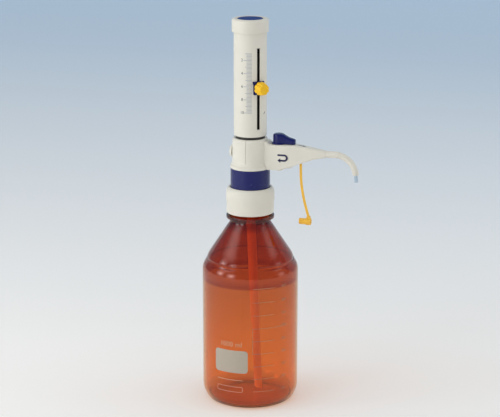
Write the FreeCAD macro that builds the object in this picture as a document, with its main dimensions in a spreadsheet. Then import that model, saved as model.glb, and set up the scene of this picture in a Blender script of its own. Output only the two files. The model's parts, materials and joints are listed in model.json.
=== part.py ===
import FreeCAD, Part
import math
import os
import Sketcher

# Bottle-top dispenser on an amber 1000 ml bottle, in millimetres.
# The origin is the middle of the bottle's foot ring, +Z is up and the arm points along +X.

SIZES = {
    # Bottle, from the bench up
    "bottle_radius": 50.5,
    "bottle_wall": 2.2,
    "punt_rise": 3.4,
    "punt_edge": 5.8,
    "punt_edge_drop": 0.85,
    "foot_land": 2.8,
    "floor_glass": 2.6,
    "corner_angle": 35.0,
    "corner_bend": 24.0,
    "foot_bend": 8.0,
    "body_height": 126.0,
    "shoulder_bend": 99.0,
    "shoulder_rise": 26.3,
    "shoulder_inset": 3.2,
    "crease_height": 1.5,
    "crease_inset": 1.0,
    "cone_rise": 30.2,
    "neck_flare": 4.2,
    "neck_flare_rise": 8.2,
    "neck_bend": 13.0,
    "neck_radius": 21.3,
    "neck_straight": 4.6,
    "bead_height": 5.2,
    "bead_slope": 1.3,
    "bead_out": 3.3,
    "finish_out": 0.9,
    "finish_height": 23.0,
    "finish_wall": 6.0,
    "rim_bend": 1.6,
    # Seal and collar
    "seal_thickness": 1.0,
    "seal_inset": 0.8,
    "seal_width": 4.2,
    "collar_bead_gap": 1.6,
    "collar_wall": 2.3,
    "collar_step": 0.5,
    "collar_grip": 12.9,
    "collar_edge_rise": 1.6,
    "collar_crown": 5.2,
    "collar_lip_bend": 6.5,
    "collar_lip_width": 1.45,
    "collar_lip_thickness": 1.9,
    "thread_clearance": 0.4,
    "collar_clearance": 0.35,
    "seat_gap": 0.1,
    # Valve block
    "flange_overhang": 0.6,
    "flange_out": 2.2,
    "block_height": 21.5,
    "column_height": 22.7,
    "column_clearance": 0.3,
    "socket_depth": 10.4,
    "socket_clearance": 0.05,
    "inlet_bore": 2.2,
    "inlet_socket_radius": 6.5,
    "inlet_socket_depth": 12.0,
    # White covers
    "cover_wall": 2.1,
    "cover_gap": 1.9,
    "cover_crown": 9.1,
    "cover_rim_inset": 0.6,
    "cover_rim_bevel": 0.65,
    "cover_edge_height": 2.6,
    "cover_edge_bend": 7.8,
    "skirt_height": 7.0,
    "skirt_out": 2.1,
    "skirt_lip": 3.3,
    "skirt_ledge": 0.6,
    "skirt_ledge_rise": 0.2,
    "skirt_flare_bend": 9.9,
    "seam_angle": 0.5,
    "nut_clearance": 0.2,
    # Discharge arm
    "arm_half_width": 8.0,
    "arm_wall": 1.8,
    "arm_rise": 4.0,
    "arm_shoulder_length": 1.4,
    "arm_shoulder_slope": 2.7,
    "arm_shoulder_drop": 2.5,
    "arm_taper_offset": 7.5,
    "arm_reach": 28.0,
    "arm_edge_bend": 1.8,
    "arm_low_edge_cut": 0.8,
    "arm_gap": 0.15,
    "spout_drop": 8.4,
    "spout_length": 14.0,
    "spout_wall": 0.55,
    # Plug and lever
    "plug_offset": 11.9,
    "plug_radius": 4.5,
    "plug_clearance": 0.05,
    "plug_head": 1.4,
    "lever_gap": 0.3,
    "lever_disc_out": 1.6,
    "lever_disc": 1.3,
    "lever_hub_radius": 5.8,
    "lever_height": 11.4,
    "lever_reach": 17.7,
    "lever_grip_height": 7.4,
    "lever_grip_width": 7.0,
    "lever_grip_swell": 0.6,
    "lever_crown": 0.45,
    "lever_bend": 1.8,
    "lever_corner_bend": 2.16,
    "lever_slope_bend": 8.12,
    "lever_dip_bend": 1.98,
    # Channel piece in the arm
    "channel_clearance": 0.2,
    "channel_floor_gap": 0.5,
    "channel_nose": 4.0,
    "channel_bore": 1.6,
    "inlet_channel_rise": 5.9,
    "return_channel_rise": 2.4,
    "return_offset": 3.3,
    # Check valves
    "ball_radius": 2.0,
    "ball_clearance": 0.5,
    "ball_gap": 0.01,
    "seat_length": 3.0,
    "seat_land": 0.8,
    "outlet_valve_offset": 6.5,
    "outlet_valve_length": 11.0,
    "spring_stand_off": 3.2,
    "spring_wire": 0.3,
    "spring_turn_count": 5.0,
    # Outlet tube and nozzle
    "outlet_radius": 1.88,
    "outlet_wall": 0.78,
    "tube_clearance": 0.08,
    "nozzle_clearance": 0.3,
    "nozzle_lead": 4.0,
    "nozzle_bend": 22.0,
    "nozzle_angle": 85.0,
    "spigot_wall": 0.39,
    "spigot_angle": 13.0,
    "spigot_clearance": 0.6,
    "tip_length": 7.6,
    # Vent
    "vent_rise": 9.45,
    "vent_radius": 6.3,
    "vent_out": 2.6,
    "vent_stem": 3.9,
    "vent_depth": 2.4,
    "vent_edge_bend": 1.9,
    # Filling and return tubes
    "filling_lean_angle": 2.6,
    "filling_wall": 0.53,
    "filling_clearance": 0.07,
    "filling_bend": 150.0,
    "filling_lead": 14.0,
    "filling_length": 122.0,
    "nipple_length": 12.0,
    "lower_tube_radius": 4.2,
    "lower_tube_wall": 0.9,
    "lower_tube_floor_gap": 2.2,
    "lower_tube_overlap": 66.0,
    "return_tube_radius": 2.0,
    "return_tube_wall": 0.8,
    "return_tube_drop": 20.0,
    "return_tube_seat": 5.0,
    # Cylinder
    "cylinder_bore": 6.84,
    "cylinder_wall": 2.16,
    "cylinder_end_gap": 34.0,
    "gasket_thickness": 1.0,
    "jacket_gap": 0.6,
    "jacket_wall": 3.0,
    "jacket_flange_out": 1.7,
    "jacket_flange": 3.0,
    "nut_out": 0.8,
    "nut_rise": 2.5,
    "stop_out": 0.7,
    "stop_height": 6.0,
    "stop_rod_clearance": 0.15,
    # Sleeve and cap
    "sleeve_gap": 0.3,
    "sleeve_wall": 1.7,
    "sleeve_length": 114.1,
    "slot_angle": 45.0,
    "slot_width": 2.8,
    "slot_low_margin": 7.9,
    "slot_high_margin": 21.9,
    "bush_wall": 2.7,
    "bush_height": 4.0,
    "bush_clearance": 0.1,
    "cap_out": 2.0,
    "cap_skirt": 6.5,
    "cap_crown": 7.2,
    "cap_clearance": 0.05,
    "cap_rim_width": 5.6,
    "cap_recess_depth": 2.0,
    "cap_edge_bend": 2.3,
    "cap_skirt_bend": 0.6,
    "disc_clearance": 0.6,
    "disc_thickness": 2.5,
    "disc_edge_bend": 0.9,
    # Piston
    "rod_radius": 3.2,
    "rod_shoulder": 0.8,
    "rod_nut_across": 5.4,
    "rod_nut_height": 2.6,
    "piston_rest": 1.8,
    "piston_length": 14.0,
    "piston_clearance": 0.5,
    "ring_height": 1.6,
    "ring_groove": 1.5,
    "ring_clearance": 0.03,
    "stud_depth": 8.0,
    "stud_end_gap": 0.4,
    # Volume slider and clamp knob
    "set_height": 43.8,
    "slider_gap": 0.3,
    "plate_thickness": 1.3,
    "plate_half_height": 6.9,
    "plate_half_angle": 21.0,
    "plate_rim": 0.7,
    "pointer_length": 3.6,
    "pointer_drop": 3.4,
    "guide_block_width": 8.0,
    "guide_block_height": 8.0,
    "guide_block_gap": 0.3,
    "guide_block_angle": 60.0,
    "screw_radius": 1.2,
    "screw_clearance": 0.06,
    "knob_radius": 6.9,
    "knob_gap": 1.2,
    "knob_skirt": 3.6,
    "knob_length": 8.3,
    "knob_face_inset": 2.0,
    "knob_edge_bend": 0.5,
    "knob_lobe_count": 8.0,
    "lobe_cut": 2.2,
    "lobe_depth": 0.8,
    # Strap and closure cap
    "strap_offset": 2.0,
    "strap_start_rise": 6.3,
    "strap_swing": 8.4,
    "strap_drop": 55.0,
    "strap_width": 2.6,
    "strap_thickness": 1.4,
    "barb_width": 1.6,
    "barb_length": 5.5,
    "barb_clearance": 0.1,
    "closure_back": 10.8,
    "closure_length": 13.7,
    "closure_barrel": 8.3,
    "closure_wall": 1.25,
    "closure_clearance": 0.07,
    "closure_bore_depth": 8.0,
    "closure_flange_out": 0.5,
    "closure_edge_bend": 0.6,
    "closure_lug_thickness": 3.0,
    "closure_lug_height": 2.5,
    # One overrun for every cut that has to pass right through
    "overrun": 1.0,
}

# Shares of a run, chosen along the photograph
ARM_LOW_SHARES = ((0.055, 0.0), (0.31, 0.30), (0.76, 0.86))
ARM_HIGH_SHARES = ((0.588, 0.33), (0.345, 0.0))
STRAP_SHARES = ((0.0, 0.184), (0.107, 0.42), (0.417, 0.675), (0.726, 0.86))
STRAP_BEND_SHARE = 0.45
CHANNEL_SLOPE_SHARE = 0.67
LEVER_SLOPE_SHARE = 0.35
CHEEK_SHARE = 0.9

doc = FreeCAD.newDocument("dispenser")
sheet = doc.addObject("Spreadsheet::Sheet", "Sizes")
parts = []


class Size:
    """A length or angle together with the sheet expression that gives it."""

    def __init__(self, value, text):
        self.value = float(value)
        self.text = text

    def __float__(self):
        return self.value

    def _with(self, other, sign, value):
        return Size(value, "(%s %s %s)" % (self.text, sign, written(other)))

    def __add__(self, other):
        return self._with(other, "+", self.value + float(other))

    def __sub__(self, other):
        return self._with(other, "-", self.value - float(other))

    def __mul__(self, other):
        return self._with(other, "*", self.value * float(other))

    def __truediv__(self, other):
        return self._with(other, "/", self.value / float(other))

    def __neg__(self):
        return Size(-self.value, "(0 - %s)" % self.text)


QUARTER_TURN = Size(90, "90")
HALF_TURN = Size(180, "180")


class Named:
    """The sheet's sizes and the places worked out from them, one attribute each."""


def written(amount):
    return amount.text if isinstance(amount, Size) else repr(amount)


def sine(angle):
    return Size(math.sin(math.radians(float(angle))), "sin(%s)" % angle.text)


def cosine(angle):
    return Size(math.cos(math.radians(float(angle))), "cos(%s)" % angle.text)


def fill_sheet():
    named = Named()
    for row, (alias, number) in enumerate(SIZES.items(), start=1):
        sheet.set("A%d" % row, alias)
        sheet.set("B%d" % row, str(number))
        sheet.setAlias("B%d" % row, alias)
        setattr(named, alias, Size(number, "Sizes." + alias))
    doc.recompute()
    return named


S = fill_sheet()


def place_bottle():
    """Heights and radii of the bottle and its neck, from the bench up."""
    S.shoulder_top = S.body_height + S.shoulder_rise
    S.crease_top = S.shoulder_top + S.crease_height
    S.cone_top = S.crease_top + S.cone_rise
    S.neck_bottom = S.cone_top + S.neck_flare_rise
    S.bead_bottom = S.neck_bottom + S.neck_straight
    S.bead_top = S.bead_bottom + S.bead_height
    S.mouth_height = S.bead_top + S.finish_height
    S.cone_top_radius = S.neck_radius + S.neck_flare
    S.bead_radius = S.neck_radius + S.bead_out
    S.finish_radius = S.neck_radius + S.finish_out
    S.mouth_radius = S.finish_radius - S.finish_wall


def place_collar():
    S.block_bottom = S.mouth_height + S.seal_thickness
    S.flange_radius = S.finish_radius + S.flange_overhang
    S.block_radius = S.flange_radius - S.flange_out
    S.collar_bottom = S.bead_top + S.collar_bead_gap
    S.collar_bore = S.finish_radius + S.thread_clearance
    S.collar_low_radius = S.collar_bore + S.collar_wall
    S.collar_radius = S.collar_low_radius + S.collar_step
    S.collar_step_height = S.collar_bottom + S.collar_grip
    S.collar_edge = S.mouth_height + S.collar_edge_rise
    S.collar_top = S.collar_edge + S.collar_crown
    S.flange_top = S.collar_top - S.collar_lip_thickness - S.seat_gap


def place_cylinder():
    """Radii from the bore outwards, to the covers and the cap."""
    S.cylinder_radius = S.cylinder_bore + S.cylinder_wall
    S.jacket_bore = S.cylinder_radius + S.jacket_gap
    S.jacket_radius = S.jacket_bore + S.jacket_wall
    S.jacket_flange_radius = S.jacket_radius + S.jacket_flange_out
    S.nut_radius = S.jacket_flange_radius + S.nut_out
    S.stop_radius = S.jacket_radius + S.stop_out
    S.bush_bore = S.jacket_radius + S.bush_clearance
    S.sleeve_bore = S.bush_bore + S.bush_wall
    S.sleeve_radius = S.sleeve_bore + S.sleeve_wall
    S.cap_radius = S.sleeve_radius + S.cap_out
    S.cap_recess_radius = S.cap_radius - S.cap_rim_width
    S.disc_radius = S.cap_recess_radius - S.disc_clearance
    S.rod_stud = S.rod_radius - S.rod_shoulder
    S.column_radius = S.jacket_flange_radius + S.column_clearance
    S.cover_inside = S.column_radius + S.cover_gap
    S.cover_radius = S.cover_inside + S.cover_wall
    S.cover_rim_radius = S.cover_radius - S.cover_rim_inset
    S.skirt_radius = S.cover_radius + S.skirt_out


def place_column():
    """Heights from the block's flange up to the cap."""
    S.block_shelf = S.flange_top + S.block_height
    S.column_top = S.block_shelf + S.column_height
    S.socket_floor = S.column_top - S.socket_depth
    S.inlet_socket_top = S.block_bottom + S.inlet_socket_depth
    S.skirt_top = S.block_shelf + S.skirt_height
    S.vent_height = S.skirt_top + S.vent_rise
    S.cover_top = S.column_top + S.cover_crown
    S.cover_lid = S.cover_top - S.cover_wall
    S.nut_top = S.cover_top + S.nut_rise
    S.sleeve_bottom = S.nut_top + S.sleeve_gap
    S.sleeve_top = S.sleeve_bottom + S.sleeve_length
    S.cylinder_base = S.socket_floor + S.gasket_thickness
    S.cylinder_top = S.sleeve_top - S.cylinder_end_gap
    S.piston_bottom = S.cylinder_base + S.piston_rest
    S.piston_top = S.piston_bottom + S.piston_length
    S.slot_bottom = S.sleeve_bottom + S.slot_low_margin
    S.slot_top = S.sleeve_top - S.slot_high_margin
    S.cap_bottom = S.sleeve_top - S.cap_skirt
    S.cap_top = S.sleeve_top + S.cap_crown
    S.cap_recess_floor = S.cap_top - S.cap_recess_depth
    S.disc_top = S.cap_recess_floor + S.disc_thickness


def place_arm():
    """The arm's heights over the block, and its stations from the column to the spout's end."""
    S.arm_top = S.column_top + S.arm_rise
    S.arm_shoulder_top = S.cover_top - S.arm_shoulder_drop
    S.spout_height = S.arm_top - S.spout_drop
    S.channel_bottom = S.block_shelf + S.arm_wall + S.channel_floor_gap
    S.channel_top = S.arm_top - S.arm_wall - S.channel_clearance
    S.channel_half_width = S.arm_half_width - S.arm_wall - S.channel_clearance
    S.inlet_channel_height = S.channel_bottom + S.inlet_channel_rise
    S.return_channel_height = S.channel_bottom + S.return_channel_rise
    S.return_across = S.inlet_socket_radius + S.return_offset
    S.arm_root = S.cover_radius + S.arm_shoulder_length
    S.plug_across = S.cover_radius + S.plug_offset
    S.arm_taper_start = S.plug_across + S.arm_taper_offset
    S.outlet_valve_start = S.plug_across + S.outlet_valve_offset
    S.outlet_valve_end = S.outlet_valve_start + S.outlet_valve_length
    S.channel_end = S.outlet_valve_end + S.channel_nose
    S.arm_neck = S.channel_end + S.arm_reach
    S.spout_end = S.arm_neck + S.spout_length
    S.nozzle_start = S.spout_end - S.nozzle_lead
    S.nozzle_centre_height = S.spout_height - S.nozzle_bend


def place_tubes():
    """Bores and radii that pass through one another, and the filling tube's bend."""
    S.seat_hole = S.ball_radius - S.seat_land
    S.valve_bore = S.ball_radius + S.ball_clearance
    S.outlet_bore = S.outlet_radius - S.outlet_wall
    S.nozzle_bore = S.outlet_radius + S.tube_clearance
    S.spigot_radius = S.nozzle_bore + S.spigot_wall
    S.spout_bore = S.spigot_radius + S.spigot_clearance
    S.spout_radius = S.spout_bore + S.spout_wall
    S.nozzle_radius = S.spout_radius - S.nozzle_clearance
    S.filling_bore = S.lower_tube_radius + S.filling_clearance
    S.filling_radius = S.filling_bore + S.filling_wall
    S.lower_tube_bore = S.lower_tube_radius - S.lower_tube_wall
    S.return_tube_bore = S.return_tube_radius - S.return_tube_wall
    S.filling_bend_start = S.block_bottom - S.filling_lead
    S.filling_bend_across = S.filling_bend * (cosine(S.filling_lean_angle) * -1 + 1)
    S.filling_bend_end = S.filling_bend_start - S.filling_bend * sine(S.filling_lean_angle)


def place_slider():
    S.slider_height = S.slot_bottom + S.set_height
    S.plate_inside = S.sleeve_radius + S.slider_gap
    S.plate_outside = S.plate_inside + S.plate_thickness
    S.guide_block_inner = S.stop_radius + S.guide_block_gap
    S.knob_start = S.plate_outside + S.knob_gap
    S.knob_end = S.knob_start + S.knob_length
    S.knob_face_radius = S.knob_radius - S.knob_face_inset


def place_closure():
    """The strap's two ends, and the closure cap that hangs on its lower one."""
    S.strap_across = S.channel_end + S.strap_offset
    S.strap_top = S.block_shelf + S.strap_start_rise
    S.strap_end_across = S.strap_across + S.strap_swing
    S.strap_end_height = S.strap_top - S.strap_drop
    S.closure_bore = S.outlet_radius + S.closure_clearance
    S.closure_radius = S.closure_bore + S.closure_wall
    S.closure_flange = S.closure_radius + S.closure_flange_out
    S.closure_start = S.strap_end_across - S.closure_back
    S.closure_height = S.strap_end_height - S.closure_lug_height - S.closure_radius


place_bottle()
place_collar()
place_cylinder()
place_column()
place_tubes()
place_arm()
place_slider()
place_closure()


def bind(thing, name, amount):
    if isinstance(amount, Size):
        thing.setExpression(name, amount.text)


def point(across, up):
    return FreeCAD.Vector(float(across), float(up), 0)


def keep(piece, label):
    piece.Label = label
    parts.append(piece)
    return piece


def new_body(label):
    return keep(doc.addObject("PartDesign::Body", label), label)


def place(piece, x=0, y=0, z=0, axis=(0, 0, 1), angle=0):
    """Puts a piece at x, y, z, turned about an axis through that point."""
    piece.Placement = FreeCAD.Placement(
        FreeCAD.Vector(float(x), float(y), float(z)),
        FreeCAD.Rotation(FreeCAD.Vector(*axis), float(angle)),
    )
    bind(piece, "Placement.Base.x", x)
    bind(piece, "Placement.Base.y", y)
    bind(piece, "Placement.Base.z", z)
    bind(piece, "Placement.Rotation.Angle", angle)


def new_sketch(body, name, role="XZ_Plane", height=0, turn=0):
    """A sketch on one of the body's own planes, lifted off it or turned about its upright."""
    sketch = body.newObject("Sketcher::SketchObject", name)
    plane = [feature for feature in body.Origin.OriginFeatures if feature.Role == role][0]
    sketch.AttachmentSupport = [(plane, "")]
    sketch.MapMode = "FlatFace"
    sketch.AttachmentOffset = FreeCAD.Placement(
        FreeCAD.Vector(0, 0, float(height)),
        FreeCAD.Rotation(FreeCAD.Vector(0, 1, 0), float(turn)),
    )
    bind(sketch, "AttachmentOffset.Base.z", height)
    bind(sketch, "AttachmentOffset.Rotation.Angle", turn)
    return sketch


def round_edge(start, end, bend):
    """The arc from start to end; a positive bend has its centre on the left."""
    chord = end - start
    radius = abs(bend)
    lift = math.sqrt(radius ** 2 - (chord.Length / 2) ** 2)
    side = FreeCAD.Vector(-chord.y, chord.x, 0).normalize() * math.copysign(lift, bend)
    centre = (start + end) / 2 + side
    first, last = (start, end) if bend > 0 else (end, start)
    low = math.atan2(first.y - centre.y, first.x - centre.x)
    high = math.atan2(last.y - centre.y, last.x - centre.x)
    if high < low:
        high += 2 * math.pi
    return Part.ArcOfCircle(Part.Circle(centre, FreeCAD.Vector(0, 0, 1), radius), low, high)


def draw_outline(sketch, corners):
    """A closed outline through corners (across, up), or (across, up, bend) before a round edge."""
    spots = [point(corner[0], corner[1]) for corner in corners]
    base = sketch.GeometryCount
    count = len(corners)
    ends = []
    for index, corner in enumerate(corners):
        start, end = spots[index], spots[(index + 1) % count]
        if len(corner) == 2:
            sketch.addGeometry(Part.LineSegment(start, end), False)
            ends.append((1, 2))
        else:
            bend = float(corner[2])
            sketch.addGeometry(round_edge(start, end, bend), False)
            ends.append((1, 2) if bend > 0 else (2, 1))
    rules = []
    bound = []
    for index, corner in enumerate(corners):
        edge, after = base + index, base + (index + 1) % count
        leave, arrive = ends[index][1], ends[(index + 1) % count][0]
        rules.append(Sketcher.Constraint("Coincident", edge, leave, after, arrive))
        for kind, amount in (("DistanceX", corner[0]), ("DistanceY", corner[1])):
            bound.append((len(rules), amount))
            rules.append(Sketcher.Constraint(kind, -1, 1, edge, ends[index][0], float(amount)))
        if len(corner) == 3:
            size = -corner[2] if float(corner[2]) < 0 else corner[2]
            bound.append((len(rules), size))
            rules.append(Sketcher.Constraint("Radius", edge, float(size)))
    first = sketch.ConstraintCount
    sketch.addConstraint(rules)
    for index, amount in bound:
        bind(sketch, "Constraints[%d]" % (first + index), amount)


def draw_circle(sketch, across, up, radius):
    index = sketch.GeometryCount
    circle = Part.Circle(point(across, up), FreeCAD.Vector(0, 0, 1), float(radius))
    sketch.addGeometry(circle, False)
    first = sketch.ConstraintCount
    sketch.addConstraint([
        Sketcher.Constraint("Radius", index, float(radius)),
        Sketcher.Constraint("DistanceX", -1, 1, index, 3, float(across)),
        Sketcher.Constraint("DistanceY", -1, 1, index, 3, float(up)),
    ])
    for offset, amount in enumerate((radius, across, up)):
        bind(sketch, "Constraints[%d]" % (first + offset), amount)


def box_corners(left, right, low, high):
    return [(left, low), (right, low), (right, high), (left, high)]


def turned(body, name, corners, kind="Revolution", angle=360):
    """A Revolution or a Groove of an outline in the upright plane."""
    sketch = new_sketch(body, name + "_outline")
    draw_outline(sketch, corners)
    feature = body.newObject("PartDesign::" + kind, name)
    feature.Profile = sketch
    feature.ReferenceAxis = (sketch, ["V_Axis"])
    feature.Midplane = True
    feature.Angle = float(angle)
    bind(feature, "Angle", angle)
    sketch.Visibility = False
    return feature


def pad(body, name, sketch, length, both_ways=False, reversed_way=False):
    feature = body.newObject("PartDesign::Pad", name)
    feature.Profile = sketch
    feature.Length = float(length)
    bind(feature, "Length", length)
    feature.Midplane = both_ways
    feature.Reversed = reversed_way
    return feature


def pocket(body, name, sketch, length, both_ways=False, reversed_way=False):
    """Cuts a sketch out and stops if the cut removed nothing."""
    doc.recompute()
    before = body.Shape.Volume
    feature = body.newObject("PartDesign::Pocket", name)
    feature.Profile = sketch
    feature.Length = float(length)
    bind(feature, "Length", length)
    feature.Midplane = both_ways
    feature.Reversed = reversed_way
    doc.recompute()
    if not body.Shape.Volume < before:
        raise RuntimeError("the cut %s of %s removed nothing" % (name, body.Label))
    return feature


def edges_where(feature, test):
    """The names of a feature's edges whose middle and ends pass a test."""
    doc.recompute()
    return [
        "Edge%d" % number
        for number, edge in enumerate(feature.Shape.Edges, start=1)
        if test(edge)
    ]


def eased(body, name, feature, kind, edges, amount):
    """A Fillet or Chamfer on named edges of a feature."""
    if not edges:
        raise RuntimeError("%s of %s found no edge" % (name, body.Label))
    finish = body.newObject("PartDesign::" + kind, name)
    finish.Base = (feature, edges)
    field = "Radius" if kind == "Fillet" else "Size"
    setattr(finish, field, float(amount))
    bind(finish, field, amount)
    return finish


def ring(label, inside, outside, low, high):
    """A plain ring about the upright axis."""
    body = new_body(label)
    turned(body, "ring", box_corners(inside, outside, low, high))
    return body


def middle(edge):
    return edge.valueAt((edge.FirstParameter + edge.LastParameter) / 2)


# Bottle


def make_bottle():
    body = new_body("bottle")
    wall = S.bottle_wall
    bend_out = S.corner_bend * (cosine(S.corner_angle) * -1 + 1)
    bend_up = S.corner_bend * sine(S.corner_angle)
    foot_out = S.foot_bend * cosine(S.corner_angle)
    foot_up = S.foot_bend * (sine(S.corner_angle) * -1 + 1)
    knuckle = S.bottle_radius - bend_out
    foot_inside = knuckle - foot_out - S.foot_land
    shoulder = S.bottle_radius - S.shoulder_inset
    crease = shoulder - S.crease_inset
    outer = [
        (0, S.punt_rise),
        (foot_inside - S.punt_edge, S.punt_rise - S.punt_edge_drop),
        (foot_inside, 0),
        (knuckle - foot_out, 0, S.foot_bend),
        (knuckle, foot_up, S.corner_bend),
        (S.bottle_radius, foot_up + bend_up),
        (S.bottle_radius, S.body_height, S.shoulder_bend),
        (shoulder, S.shoulder_top),
        (crease, S.crease_top),
        (S.cone_top_radius, S.cone_top, -S.neck_bend),
        (S.neck_radius, S.neck_bottom),
        (S.neck_radius, S.bead_bottom),
        (S.bead_radius, S.bead_bottom + S.bead_slope),
        (S.bead_radius, S.bead_top - S.bead_slope),
        (S.finish_radius, S.bead_top),
        (S.finish_radius, S.mouth_height - S.rim_bend, S.rim_bend),
        (S.finish_radius - S.rim_bend, S.mouth_height),
        (S.mouth_radius + S.rim_bend, S.mouth_height, S.rim_bend),
        (S.mouth_radius, S.mouth_height - S.rim_bend),
    ]
    inner = [
        (S.mouth_radius, S.neck_bottom, S.neck_bend),
        (S.cone_top_radius - wall * 2, S.cone_top - wall / 2),
        (crease - wall, S.crease_top - wall),
        (shoulder - wall, S.shoulder_top - wall, -(S.shoulder_bend - wall)),
        (S.bottle_radius - wall, S.body_height),
        (S.bottle_radius - wall, foot_up + bend_up, -(S.corner_bend - wall)),
        (knuckle - wall, S.punt_rise + S.floor_glass),
        (0, S.punt_rise + S.floor_glass),
    ]
    turned(body, "glass", outer + inner)


def make_neck_seal():
    inside = S.mouth_radius + S.seal_inset
    ring("neck_seal", inside, inside + S.seal_width, S.mouth_height, S.block_bottom)


def make_collar():
    body = new_body("collar")
    step = S.collar_step
    lip_bore = S.block_radius + S.collar_clearance
    pocket_radius = S.flange_radius + S.collar_clearance
    lip_low = S.collar_top - S.collar_lip_thickness
    turned(body, "collar_shell", [
        (S.collar_bore, S.collar_bottom),
        (S.collar_low_radius - step, S.collar_bottom, step),
        (S.collar_low_radius, S.collar_bottom + step),
        (S.collar_low_radius, S.collar_step_height),
        (S.collar_radius, S.collar_step_height + step * 2),
        (S.collar_radius, S.collar_edge, S.collar_lip_bend),
        (lip_bore + S.collar_lip_width, S.collar_top),
        (lip_bore, S.collar_top),
        (lip_bore, lip_low),
        (pocket_radius, lip_low),
        (pocket_radius, S.mouth_height),
        (S.collar_bore, S.mouth_height - step),
    ])


# Valve block


def make_valve_block():
    body = new_body("valve_block")
    socket = S.cylinder_radius + S.socket_clearance
    turned(body, "core", [
        (S.inlet_socket_radius + S.socket_clearance, S.block_bottom),
        (S.flange_radius, S.block_bottom),
        (S.flange_radius, S.flange_top),
        (S.block_radius, S.flange_top),
        (S.block_radius, S.block_shelf),
        (S.column_radius, S.block_shelf),
        (S.column_radius, S.column_top),
        (socket, S.column_top),
        (socket, S.socket_floor),
        (S.inlet_bore, S.socket_floor),
        (S.inlet_bore, S.inlet_socket_top),
        (S.inlet_socket_radius + S.socket_clearance, S.inlet_socket_top),
    ])
    outlet = new_sketch(body, "outlet_hole", "YZ_Plane")
    draw_circle(outlet, 0, S.inlet_channel_height, S.channel_bore)
    pocket(body, "outlet_channel", outlet, S.block_radius, reversed_way=True)
    back = new_sketch(body, "return_hole", "YZ_Plane", S.return_across)
    draw_circle(back, 0, S.return_channel_height, S.channel_bore)
    pocket(body, "return_channel", back, S.block_radius, reversed_way=True)
    fall = new_sketch(body, "return_drop_hole", "XY_Plane", S.return_channel_height)
    draw_circle(fall, S.return_across, 0, S.return_tube_radius + S.tube_clearance)
    pocket(body, "return_drop", fall, S.return_channel_height - S.block_bottom + S.overrun)
    vent = new_sketch(body, "vent_hole", "YZ_Plane", -(S.column_radius + S.overrun))
    draw_circle(vent, 0, S.vent_height, S.vent_stem + S.nut_clearance)
    pocket(body, "vent_port", vent, S.vent_depth + S.overrun + S.nut_clearance, reversed_way=True)


def cover_outline(low):
    """Half section of the white covers over the column, from a height up to the rim."""
    hole = S.nut_radius + S.nut_clearance
    bevel = S.cover_rim_bevel
    return [
        (S.cover_inside, low),
        (S.cover_radius, low),
        (S.cover_radius, S.cover_top - S.cover_edge_height, S.cover_edge_bend),
        (S.cover_rim_radius, S.cover_top - bevel),
        (S.cover_rim_radius - bevel, S.cover_top),
        (hole, S.cover_top),
        (hole, S.cover_lid),
        (S.cover_inside, S.cover_lid),
    ]


def make_block_skirt():
    body = new_body("block_skirt")
    ledge = S.block_shelf + S.skirt_lip
    turned(body, "skirt_ring", [
        (S.cover_inside, S.block_shelf),
        (S.skirt_radius, S.block_shelf),
        (S.skirt_radius, ledge),
        (S.skirt_radius - S.skirt_ledge, ledge + S.skirt_ledge_rise, -S.skirt_flare_bend),
        (S.cover_radius, S.skirt_top),
        (S.cover_inside, S.skirt_top),
    ])
    notch = new_sketch(body, "arm_notch_outline", "YZ_Plane")
    half = S.arm_half_width + S.arm_gap
    draw_outline(notch, box_corners(
        -half, half, S.block_shelf - S.overrun, S.skirt_top + S.overrun))
    pocket(body, "arm_notch", notch, S.skirt_radius + S.overrun, reversed_way=True)


def make_rear_cover():
    body = new_body("rear_cover")
    turned(body, "half_shell", cover_outline(S.skirt_top), angle=HALF_TURN - S.seam_angle * 2)
    port = new_sketch(body, "vent_hole", "YZ_Plane")
    draw_circle(port, 0, S.vent_height, S.vent_stem + S.nut_clearance)
    pocket(body, "vent_port", port, S.skirt_radius, reversed_way=True)
    place(body, angle=HALF_TURN)


def arm_profile():
    """Side outline of the arm. Shares run from the plug to the neck, and from root to spout."""
    spout_low = S.spout_height - S.spout_radius
    spout_high = S.spout_height + S.spout_radius
    run = S.arm_neck - S.plug_across
    drop = S.arm_top - spout_high
    rise = spout_low - S.block_shelf
    outline = [(S.cover_inside, S.block_shelf)]
    for along_share, up_share in ARM_LOW_SHARES:
        outline.append((S.plug_across + run * along_share, S.block_shelf + rise * up_share))
    outline += [(S.arm_neck, spout_low), (S.arm_neck, spout_high)]
    for along_share, down_share in ARM_HIGH_SHARES:
        outline.append((S.plug_across + run * along_share, S.arm_top - drop * down_share))
    outline += [
        (S.arm_root + S.arm_shoulder_slope, S.arm_top),
        (S.arm_root, S.arm_shoulder_top),
        (S.cover_inside, S.arm_shoulder_top),
    ]
    return outline


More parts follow.
